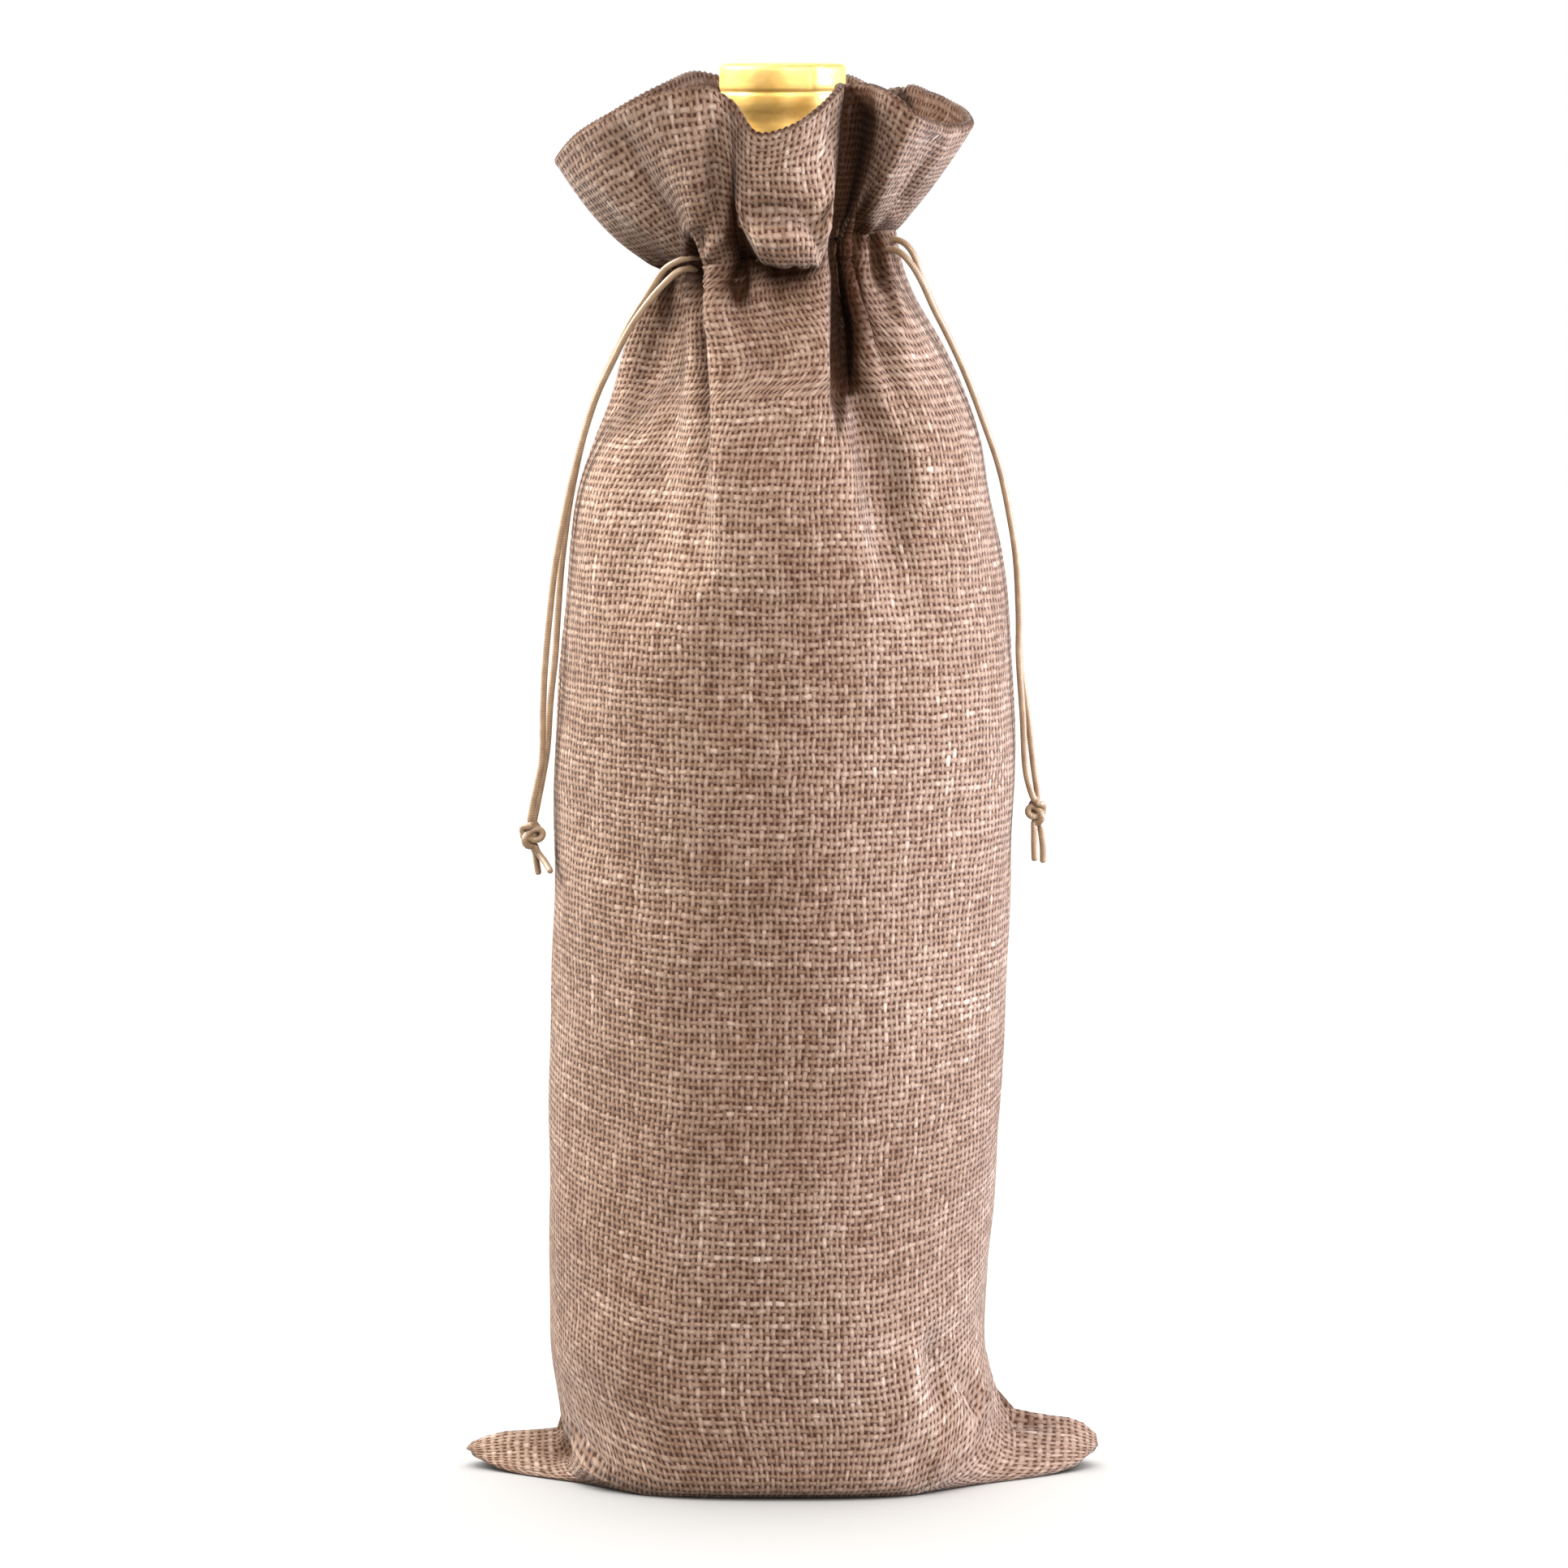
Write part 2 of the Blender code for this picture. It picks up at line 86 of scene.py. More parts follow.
# Each strand starts just inside the channel.
STRANDS = {
    "cord_left_back": (
        (-17.6, -9, 274.8), (-19.2, -11, 275.3),
        (-20.8, -12.2, 275.2), (-23.6, -11.2, 274.3), (-26.7, -9.2, 272), (-30.2, -8.2, 266.6),
        (-33.8, -7.4, 260.9), (-36.9, -6.4, 254.7), (-40.2, -5.4, 247.6), (-43.9, -4.4, 237.2),
        (-47.2, -3.8, 222.6), (-49.3, -3.4, 208), (-50.3, -3.4, 196), (-51, -3.8, 185.6),
        (-52.1, -4.4, 175.3), (-52.8, -4.8, 165), (-54.1, -4.9, 157.2), (-55.8, -5, 148.7),
    ),
    "cord_left_front": (
        (-17.8, -8.6, 272.2), (-19.2, -9.3, 272.4),
        (-20.6, -10.5, 272.8), (-23.4, -12, 272), (-27.2, -12, 268.4), (-30.6, -11.4, 264.3),
        (-34.2, -10.4, 259), (-38, -9.2, 251.6), (-41.6, -8, 243.8), (-44.9, -7.2, 233.4),
        (-48, -6.8, 221), (-50.7, -6.8, 207), (-52.1, -6.8, 195.2), (-53.2, -6.9, 183.4),
        (-53.7, -7, 173.1), (-53.9, -7, 163), (-55.2, -7, 156.4), (-56.7, -6.9, 148.9),
    ),
    "cord_right_back": (
        (22.6, -1.6, 279.2), (23.8, -2.1, 279.2),
        (24.8, -2.9, 279), (27.2, -4.6, 278.2), (29.3, -5.6, 275.6), (31, -6, 270.8),
        (33.7, -6, 264.3), (36.9, -5.8, 257.8), (40.7, -5.2, 249.4), (44.9, -4.6, 238.7),
        (48.6, -4.2, 227.8), (51, -4, 217), (52.4, -4, 207), (53, -4, 196),
        (53.3, -4.2, 185.6), (55.1, -4.6, 172.5), (56.4, -4.8, 161.4), (57.4, -5, 154),
    ),
    "cord_right_front": (
        (20.6, -4, 276.6), (21.8, -4.3, 276.8),
        (22.9, -5, 276.9), (25.9, -7.6, 276.4), (28.5, -9.2, 273.9), (30.9, -9.4, 270),
        (33.7, -9, 263.9), (36.8, -8.4, 257.8), (40.7, -7.8, 249.5), (44.8, -7.2, 238.8),
        (48.5, -6.8, 228.1), (50.8, -6.8, 217.4), (52.4, -6.8, 207.3), (53, -6.8, 196),
        (53, -6.8, 185.6), (53.9, -6.9, 172.6), (54.6, -7, 160.4), (56.4, -6.9, 153.75),
    ),
}
TAILS = {
    "cord_left_back": ((-55.7, -5, 141.7), (-55.3, -4.8, 138.8), (-54.9, -4.6, 136.3)),
    "cord_left_front": ((-55, -6.8, 141.6), (-53.4, -8.8, 139.8), (-51.9, -11.4, 137.7)),
    "cord_right_back": ((58, -5.1, 147.2), (58.6, -4.8, 142.8), (58.7, -4.6, 139)),
    "cord_right_front": ((56.6, -6.8, 147.1), (56.6, -7, 143.4), (56.7, -7.2, 139.7)),
}
# How the overhand knot winds, from its middle. The front strand makes three loops round a middle
# where it crosses itself, and the back strand fills the knot behind it. The right knot is the mirror.
KNOT_MIDDLES = {"left": (-56.4, -6.0, 145.4), "right": (57.1, -6.0, 150.6)}
KNOT_SIZES = {"left": (1.08, 1.0, 1.08), "right": (-0.82, 0.95, 1.0)}
KNOT_TURNS = {
    "back": (
        (0.6, 1.2, 2.4), (1.6, 1.6, 0.9), (1.2, 1.5, -1), (-0.6, 1.6, -1.5), (-1.9, 1.2, -0.3),
        (-1.3, 1.7, 1.3), (0.3, 0.9, 0.9), (0.4, 0.6, -0.6), (0, 1, -2.2),
    ),
    "front": (
        (0.1, -0.4, 3.1), (-0.2, -1.55, 1.95), (-1.7, -0.7, 1.9), (-1.85, 0.15, 0.5), (-0.3, -0.7, -0.8),
        (1.7, -1.55, -0.75), (2.45, -0.7, 0.45), (1.35, 0.15, 1.3), (-0.55, -0.7, 0.65),
        (-1.5, -1.55, -1.1), (-0.5, -0.7, -2.4), (0.6, 0.15, -1.9),
    ),
}


def smooth_curve(points, count, closed=False):
    """Points read from a Catmull-Rom curve through the given ones."""
    points = np.array(points, float)
    if closed:
        points = np.vstack([points[-1:], points, points[:2]])
    else:
        points = np.vstack([2 * points[0] - points[1], points, 2 * points[-1] - points[-2]])
    spans = len(points) - 3
    at = np.linspace(0, spans, count)
    k = np.minimum(at.astype(int), spans - 1)
    t = (at - k)[:, None]
    a, b, c, d = points[k], points[k + 1], points[k + 2], points[k + 3]
    return 0.5 * (2 * b + (c - a) * t + (2 * a - 5 * b + 4 * c - d) * t**2 + (3 * b - a - 3 * c + d) * t**3)


def lengths(points):
    """How far along the curve through the points each one lies."""
    steps = np.linalg.norm(np.diff(points, axis=0), axis=1)
    return np.concatenate([[0.0], np.cumsum(steps)])


def read_at(points, shares):
    """The curve through the points, read at shares of its own length."""
    far = lengths(points)
    return np.stack([np.interp(shares * far[-1], far, points[:, axis]) for axis in range(3)], axis=1)


def add_mesh(name, points, faces, maps, finish):
    """A smooth-shaded mesh from points in millimetres. maps gives each UV map's values by point."""
    mesh = bpy.data.meshes.new(name)
    mesh.from_pydata([tuple(point) for point in np.array(points, float) * MM], [], faces)
    corner_points = np.zeros(len(mesh.loops), np.int32)
    mesh.loops.foreach_get("vertex_index", corner_points)
    for map_name, values in maps.items():
        layer = mesh.uv_layers.new(name=map_name)
        layer.uv.foreach_set("vector", np.array(values, np.float32)[corner_points].ravel())
    mesh.shade_smooth()
    mesh.materials.append(finish)
    made = bpy.data.objects.new(name, mesh)
    bpy.context.collection.objects.link(made)
    return made


def colour(code):
    """A hex sRGB colour as the linear values that shaders take."""
    parts = [int(code[k : k + 2], 16) / 255 for k in (1, 3, 5)]
    return (*[p / 12.92 if p <= 0.04045 else ((p + 0.055) / 1.055) ** 2.4 for p in parts], 1.0)


def connect(tree, node, links):
    """Sets inputs of a node, each to a value, to a socket or to the first output of a node."""
    for place, value in links.items():
        if isinstance(value, bpy.types.Node):
            value = value.outputs[0]
        if isinstance(value, bpy.types.NodeSocket):
            tree.links.new(value, node.inputs[place])
        else:
            node.inputs[place].default_value = value


def add(tree, kind, links=(), **settings):
    """Adds a node with its settings. links gives its inputs in order, or by number or name."""
    made = tree.nodes.new("ShaderNode" + kind)
    for name, value in settings.items():
        setattr(made, name, value)
    connect(tree, made, links if isinstance(links, dict) else dict(enumerate(links)))
    return made


def new_material(name):
    made = bpy.data.materials.new(name)
    made.use_nodes = True
    return made, made.node_tree, made.node_tree.nodes["Principled BSDF"]


def ramp_stops(ramp, stops):
    """Gives a colour ramp these (place, colour) stops."""
    elements = ramp.color_ramp.elements
    while len(elements) < len(stops):
        elements.new(1.0)
    for element, (place, value) in zip(elements, stops):
        element.position = place
        element.color = value


def satin_cord_finish():
    """Satin cord wound with polyester thread: golden tan with a soft gloss, with painted shade making it
    browner between the turns.
    """
    made, tree, shader = new_material("wound satin cord")
    along = add(tree, "UVMap", uv_map="Cord")
    split = add(tree, "SeparateXYZ", (along,))
    turns = add(tree, "Math", (split.outputs["X"], 1 / CORD_LAY), operation="MULTIPLY")
    turned = add(tree, "Math", (split.outputs["Y"], turns), operation="SUBTRACT")
    phase = add(tree, "Math", (turned, 2 * math.pi * CORD_STARTS), operation="MULTIPLY")
    crown = add(tree, "Math", (phase,), operation="COSINE")
    long = add(tree, "Mapping", {"Vector": along, "Scale": (0.35, 3.0, 1.0)})
    uneven = add(tree, "TexNoise", {"Vector": long, "Scale": 1.0, "Detail": 3.0})
    # Painted shade: the colour is a little darker in the grooves between the turns.
    tone = add(tree, "Math", (crown, 0.08, 0.22), operation="MULTIPLY_ADD")
    tone = add(tree, "Math", (uneven, 0.5, tone), operation="MULTIPLY_ADD")
    ramp = add(tree, "ValToRGB", {"Fac": tone})
    ramp_stops(ramp, ((0.1, colour("#4c3827")), (0.45, colour("#7a6047")), (0.85, colour("#a08a6c"))))
    # Filaments lie along the winding, 0.08 mm apart.
    filaments = add(tree, "Mapping", {"Vector": along, "Scale": (12.0, 1.5, 1.0)})
    threads = add(tree, "TexNoise", {"Vector": filaments, "Scale": 1.0, "Detail": 1.0})
    bump = add(tree, "Bump", {"Height": threads, "Strength": 0.3, "Distance": 0.00008})
    connect(tree, shader, {
        "Base Color": ramp, "Normal": bump, "Roughness": 0.42, "Sheen Weight": 0.2, "Sheen Roughness": 0.4,
    })
    return made


def frames_along(points):
    """Two directions square to the curve at each point, turned as little as they can be."""
    along = np.gradient(points, axis=0)
    along /= np.linalg.norm(along, axis=1)[:, None]
    side = np.cross(along[0], (0.0, 1.0, 0.0))
    sides = []
    for tangent in along:
        side = side - tangent * side.dot(tangent)
        side = side / np.linalg.norm(side)
        sides.append(side)
    sides = np.array(sides)
    return sides, np.cross(along, sides)


def eased_line(route):
    """The smooth line of a route at even steps, with its tightest bends eased as a real cord's are."""
    fine = smooth_curve(route, len(route) * CURVE_STEPS)
    steps = int(lengths(fine)[-1] / CORD_STEP)
    line = read_at(fine, np.linspace(0.0, 1.0, steps + 1))
    reach = int(CORD_EASING / CORD_STEP / 2)
    evenly = np.full(2 * reach + 1, 1 / (2 * reach + 1))
    for _ in range(2):
        before, after = 2 * line[0] - line[reach:0:-1], 2 * line[-1] - line[-2 : -reach - 2 : -1]
        padded = np.vstack([before, line, after])
        line = np.stack([np.convolve(padded[:, axis], evenly, "valid") for axis in range(3)], axis=1)
    return read_at(line, np.linspace(0.0, 1.0, steps + 1))


def ring_faces(rings, count):
    """The four-sided faces between rings of points, each ring closed round."""
    faces = []
    for k in range(rings - 1):
        for j in range(count):
            n = (j + 1) % count
            faces.append((k * count + j, k * count + n, (k + 1) * count + n, (k + 1) * count + j))
    return faces


def add_cord(name, route, finish):
    """A tube with the fine ridges of its winding, which go round it as they go along."""
    line = eased_line(route)
    far = lengths(line)
    side, up = frames_along(line)
    around = np.linspace(0.0, 1.0, CORD_SIDES, endpoint=False)
    turn = 2 * math.pi * CORD_STARTS * (around[None, :] - far[:, None] / CORD_LAY)
    radius = CORD_DIAMETER / 2 * (1 - CORD_GROOVE * (0.5 - 0.5 * np.cos(turn)))
    radius *= 1 - CORD_END_TAPER * np.clip(1 - (far[-1] - far[:, None]) / CORD_END, 0.0, 1.0) ** 2
    angle = 2 * math.pi * around[None, :, None]
    outward = np.cos(angle) * side[:, None] + np.sin(angle) * up[:, None]
    points = line[:, None] + radius[:, :, None] * outward
    values = [(distance, share) for distance in far for share in around]
    faces = ring_faces(len(line), CORD_SIDES)
    last = (len(line) - 1) * CORD_SIDES
    faces.append(tuple(reversed(range(CORD_SIDES))))
    faces.append(tuple(range(last, last + CORD_SIDES)))
    return add_mesh(name, points.reshape(-1, 3), faces, {"Cord": values}, finish), line, far[-1]


cord_finish = satin_cord_finish()
for name, strand in STRANDS.items():
    _, hand, place = name.split("_")
    knot = np.array(KNOT_MIDDLES[hand]) + np.array(KNOT_TURNS[place]) * np.array(KNOT_SIZES[hand])
    route = list(strand) + [tuple(point) for point in knot] + list(TAILS[name])
    piece, line, length = add_cord("drawstring_" + hand + "_" + place, route, cord_finish)
    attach(piece, "root")
    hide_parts(name, name.replace("cord", "tail"), "knot_" + hand)


# The sack. One length of plain-woven burlap, folded at the bottom and closed down both sides. The
# bottle spreads its bottom and leaves two corner ears lying out, and the cords draw it in above
# the bottle's shoulder, so that the heading flares out in lobes round the mouth.
CLOTH = 1.2
FLAT_WIDTH = 145.0
WARP_PITCH = 1.394
WEFT_PITCH = 1.69
# Half a yarn's width where it is thin and thick, in pitches. Heights of its dome and crimp, and the
# depth of a hole, in millimetres. Lengths of its slubs and of its changes of tone.
THIN_HALF = 0.26
THICK_HALF = 0.41
YARN_DOME = 0.3
YARN_CRIMP = 0.1
HOLE = 1.0
SLUB_LENGTH = 3.2
TONE_LENGTH = 26.0
STRAY = 1.1
# Rays and their reach, in millimetres, that test how hidden a place is in the folds, and the colour
# where it is most hidden. The inside of the sack is hidden this much.
SHADE_RAYS = 16
SHADE_REACH = 40.0
DEEPEST = "#2a160b"
INSIDE_SHADE = 0.35
HEADING = 38.0
HEM = 2.1
HEM_LENGTH = 3.0
HEM_TURNS = (40.0, 90.0, 140.0)
HEM_STEP = 0.8
CLOTH_TURN = 5.0
GATHER_HEIGHT = 276.5
GATHER_TILT = 0.17
TILT_FOOT = 225.0
TILT_OVER = 50.0
NECK_CLEAR_RADIUS = 15.9
NECK_CLEAR_FOOT = 238.0
TROUGH_SPREAD = 0.9
TROUGH_SEAM_FADE = 0.25
HEADING_DISH = 0.28
LEFT_DISH = 0.34

# Two columns of the mesh for each upright thread, and rows closer where the cloth folds.
HALF_COLUMNS = 208
HALF_TURN_STEPS = 1441
FLOOR_ROWS = tuple(np.linspace(1.6, 39.5, 12))
EAR_ROWS = tuple(np.linspace(5.0, 60.0, 24))
BODY_ROWS = tuple(np.linspace(66.0, 194.0, 22))
NECK_ROWS = tuple(np.linspace(198.0, GATHER_HEIGHT, 66))
WALL_ROWS = EAR_ROWS + BODY_ROWS + NECK_ROWS
HEADING_ROWS = tuple(np.linspace(0.02, 1.0, 46))
INNER_STEPS = {"floor": 2, "ear": 2, "body": 4, "neck": 4, "heading": 3}

# The wall by height: half widths to the left and right, half depth, how full the section is, and
# how far the weave rises from the middle to each seam.
SECTION_COLUMNS = ("z", "left", "right", "depth", "fullness", "rise_left", "rise_right")
SECTIONS = (
    (0, 50, 48.5, 39.4, 2.7, 23.5, 27),
    (14, 50, 48.6, 39.5, 2.4, 21, 23),
    (30, 52.4, 46.2, 39.6, 2.2, 18, 18),
    (46, 52.9, 46.7, 39.6, 2.1, 15, 14),
    (91, 52.6, 50, 39.6, 2, 8.5, 5),
    (135, 51.9, 51.2, 39.6, 2, 5, 2),
    (168, 51, 52.6, 39.6, 2, 2.5, 0.5),
    (194, 49.3, 50.9, 39.6, 2, 0, 0),
    (212, 47.8, 48.5, 39.2, 2, 0, 0),
    (223, 45.7, 46.4, 37.8, 2, 0, 0),
    (234, 42, 44.6, 35.6, 2, 0, 0),
    (245, 37.6, 41, 32.8, 2, 0, 0),
    (256, 34.5, 36, 29.6, 2, 0, 0),
    (267, 30.3, 29.6, 26.4, 2, 0, 0),
    (272, 27, 27.4, 24.8, 2, 0, 0),
    (282, 25, 24.8, 23.6, 2, 0, 0),
)

# The underside and the two corner ears, by distance from the bottom fold: where each side seam
# runs (out from the middle, and above the floor), and how square the outline is.
EAR_COLUMNS = ("along", "left", "left_up", "right", "right_up", "fullness")
EARS = (
    (0, 71.4, 5, 71.2, 5.6, 9),
    (3, 72.2, 6, 72.3, 7.6, 9),
    (8, 67.4, 7.4, 69, 10.2, 9),
    (16, 58.2, 8.2, 60.6, 11.6, 8),
    (24, 50.2, 9.4, 51.5, 14, 5.6),
    (31, 49.8, 15.6, 48.5, 19.8, 3.8),
    (39.5, 50.6, 23.5, 47.2, 27, 2.7),
)
LEAST_LIFT = 0.08
EAR_ROOT = 51.0
EAR_TIP = 11.0
EAR_SHARE = 0.16
EAR_SLANT = 0.75
EAR_SLANT_POWER = 1.6
EAR_THIN_WITHIN = 4.0
EAR_THINNEST = 0.1
EARS_END = 31.0
EARS_FADE = 30.0

# Troughs pressed into the neck by the gather, deepest at the gather and fading to their foot.
# Columns: across, foot across, foot height, wide left, wide right, depth, hold.
TROUGHS = {
    "front": (
        (-19.8, -19, 202, 6, 1.7, 8, 2.4),
        (-32, -32.5, 192, 4.5, 4.5, 9.5, 2.8),
        (-9.8, -8.8, 258, 1.7, 1.5, 5, 1.5),
        (-1, -4, 226, 4, 4, 2.8, 1.4),
        (19.7, 30, 234, 1.3, 1.8, 7, 1.4),
        (23.6, 28, 256, 1.3, 1.3, 5, 1.5),
        (14, 28, 192, 3, 4.5, 7.5, 2.2),
    ),
    "back": (
        (-21, -27, 212, 4, 6, 7, 1.2),
        (-12.5, -15, 245, 3, 3, 6.5, 1.5),
        (-2.5, -5, 205, 4, 2, 8.5, 2),
        (8, 10, 240, 3.2, 3, 7, 1.5),
        (19.5, 25, 208, 2.4, 5, 7.5, 1.6),
    ),
}

# The deepest fold, right of the front lobe, goes straight back between two crisp edges.
SLIT_COLUMNS = ("z", "middle", "half_width", "depth")
SLIT = (
    (228, 12, 0, 0),
    (236, 12.1, 0.2, 1),
    (241, 12.2, 0.9, 3),
    (244, 12.3, 1.5, 5.5),
    (247.5, 12.5, 1.9, 8),
    (254, 12.6, 2.4, 9.5),
    (260, 12.7, 2.3, 9.5),
    (266, 12, 1.7, 9),
    (272, 11.5, 1.1, 8.5),
    (282, 11.4, 1, 8),
)
SLIT_WALLS = (0.9, 3.0)

# The rim of the heading, once round from its left tip across the front.
RIM_FRONT = (
    (-50.5, -3, 296), (-45, -16, 302), (-35, -27, 307.6), (-25.5, -33, 311.2),
    (-16, -35, 312.4), (-12, -33.5, 309.6), (-6, -34.5, 302.4), (2.5, -35.5, 304),
    (8.5, -33.5, 307.7), (13.4, -28, 312), (14, -15.5, 312.6), (17.8, -17.5, 312.8),
    (22, -30, 311.4), (29, -32, 306.6), (33, -25, 304.4), (37.5, -14, 303.2),
    (42.4, -3, 303.7),
)
RIM_BACK = (
    (41.3, 7, 306.3), (36, 17, 308.7), (29.5, 27, 311.5), (22, 24, 311),
    (15, 33, 313.6), (4, 36, 312), (-3.5, 28, 309.5), (-12, 34, 313),
    (-20.5, 35, 314.4), (-28, 26, 311.4), (-38, 20, 306), (-46.5, 9, 299.5),
)

# The front lobe, which droops over the gather: how far forward its middle stands, its height, and
# where its two sides are.
LOBE_COLUMNS = ("up_cloth", "forward", "height", "left", "right")
LOBE = (
    (0, 23.5, 276.2, -7, 10.6),
    (0.08, 26.8, 274.2, -6.8, 11.2),
    (0.17, 30, 274, -7.8, 11.7),
    (0.28, 32.8, 276.6, -9.8, 12.4),
    (0.40, 33.8, 281.2, -12, 13.3),
    (0.50, 31.6, 285.4, -13, 13.9),
    (0.60, 31.8, 289.2, -12.9, 13.5),
    (0.76, 33.8, 295.4, -12.6, 11.6),
    (1, 35, 303, -13, 13.6),
)
LOBE_SIDES = (-13.0, 14.0)
LOBE_RIM_FORWARD = 24.0
LOBE_WALL = 3.0
LOBE_ROUNDING = 6.0
LOBE_ARCH = 4.5
LOBE_FREE = 0.62

# Small creases, given as seen from the front or the back: where each runs from and to
# (across, height), how wide it is and how far it stands out, or below zero is pressed in.
CREASES = {
    ("wall", "front"): (
        (-9.8, 274.5, -9.4, 265, 1.1, -1.5),
        (-21.6, 280, -21, 262, 1.6, 1.2),
        (-15.2, 281, -15.6, 258, 1.9, 1.3),
        (-24.6, 276, -25.6, 258, 1.5, -1.2),
        (-7.2, 258, -4.6, 250.5, 1.6, -0.7),
        (-4.6, 250.5, -1, 257, 1.6, -0.7),
        (-7, 252, -4, 244.5, 1.6, 0.6),
        (19.6, 282, 22.6, 268, 1.2, -1.6),
        (15.4, 282, 20, 256, 2, 1.2),
        (22, 276, 27.6, 258, 1.4, 1.3),
        (27.5, 262, 36, 240, 2.2, -1),
        (22.8, 243, 23.5, 206, 5, -1.3),
        (-27, 260, -33, 232, 3.5, -1.2),
        (-51, 156, -22, 128, 5, -0.9),
        (-46, 142, -20, 118, 6, 0.6),
        (50, 159, 36, 149, 3, -0.9),
        (33, 36, 37, 20, 2.6, -2.2),
        (39, 40, 33, 10, 4, -1.1),
        (29, 34, 28, 10, 3, 0.9),
    ),
    ("wall", "back"): (
        (-30, 150, 10, 128, 7, -0.9),
        (46, 120, 18, 96, 6, -0.9),
        (-20, 270, -30, 230, 3, -1.3),
        (13, 270, 18, 222, 3, -1.1),
    ),
    ("heading", "front"): (
        (-9.5, 285.4, 7, 286.6, 2, -1.3),
        (4.8, 286.6, 10.4, 272.6, 1, -1.4),
        (9.6, 287, 12, 276, 1.4, 0.6),
        (-6, 279, 5, 281.5, 3, 0.8),
        (-18.5, 283, -18.2, 273.5, 1, -1.8),
        (-17.4, 275, -12.6, 281.5, 1.3, 1.2),
        (-21.4, 275, -21, 284, 1.3, 1),
        (-24, 279, -36, 304, 2.6, -1.2),
        (-29, 280, -46, 297, 2.6, 0.9),
        (-18.5, 282, -20, 312, 2.2, 0.9),
        (-14.8, 280, -14.6, 305, 1.8, -1.8),
        (25, 284, 34, 303, 1.8, -1.9),
        (17.4, 279, 28, 308, 2, 1.2),
        (22.6, 281, 38, 303, 1.8, 0.9),
    ),
    ("heading", "back"): (
        (-24, 284, -34, 304, 3, 1.2),
        (10, 284, 15, 308, 3, 1),
        (25.5, 290, 27, 314, 1.5, 2.6),
        (33, 292, 36, 311, 1.8, -1.2),
    ),
}
# Creases of the two ears, by the places they run from and to (across, deep, up).
EAR_CREASES = (
    (-51.5, -7, 6.4, -47, -19, 7.2, 2.3, -2.4),
    (-66, -2, 4.2, -52, -15, 1.2, 2.2, -1),
    (-48.5, -17, 13, -39, -30, 6, 2.4, -1.3),
    (-47, -20.5, 3.5, -37, -33.5, 1.5, 2.4, 0.9),
    (36, -24.5, 31, 45.5, -19, 14, 2.2, -2.6),
    (44, -18, 22, 50, -12, 13, 2.2, 0.9),
    (51.5, -4.5, 10.9, 57.5, -1.5, 10.9, 2.2, -2.3),
    (27.5, -36, 17, 32, -33, 2, 2, -0.9),
    (32, -34, 24, 36, -30.5, 3, 2.2, 0.9),
)
PUCKER = 1.3
PUCKER_PITCH = 6.2
PUCKER_MIDDLE = 1.5
PUCKER_HALF_HEIGHT = 5.5
SEAM_INSET = 2.2
SEAM_WIDTH = 0.9
SEAM_DEPTH = 0.55
RIM_THREAD = 0.22
RIM_THREAD_LENGTH = 1.6
WAVER = 0.55


def through(at, knots, values):
    """A smooth curve through the values at the knots, read at one or many places."""
    at = np.clip(at, knots[0], knots[-1])
    slopes = np.gradient(values, knots)
    k = np.clip(np.searchsorted(knots, at, side="right") - 1, 0, len(knots) - 2)
    width = knots[k + 1] - knots[k]
    t = (at - knots[k]) / width
    rise = values[k + 1] - values[k]
    a = slopes[k] * width - rise
    b = rise - slopes[k + 1] * width
    return values[k] + t * rise + t * (1 - t) * ((1 - t) * a + t * b)


def read_table(table, columns, name, at):
    """A column of a table as a smooth curve, read at places given in the table's first column."""
    rows = np.array(table, float)
    return through(at, rows[:, 0], rows[:, columns.index(name)])


def section(name, z):
    return read_table(SECTIONS, SECTION_COLUMNS, name, z)


def ear(name, along):
    return read_table(EARS, EAR_COLUMNS, name, along)


def ease(x):
    x = np.clip(x, 0.0, 1.0)
    return x * x * (3 - 2 * x)


def trough_depths(x, z, side):
    """How far in the gather's troughs press the cloth at these places."""
    depth = np.zeros_like(x)
    for across, foot_across, foot_z, wide_left, wide_right, deep, hold in TROUGHS[side]:
        down = np.clip((GATHER_HEIGHT - z) / (GATHER_HEIGHT - foot_z), 0.0, 1.0)
        middle = across + (foot_across - across) * down
        spread = 1.0 + TROUGH_SPREAD * down
        wide = np.where(x < middle, wide_left, wide_right) * spread
        depth += deep * (1 - down**hold) * np.exp(-(((x - middle) / wide) ** 2))
    return depth


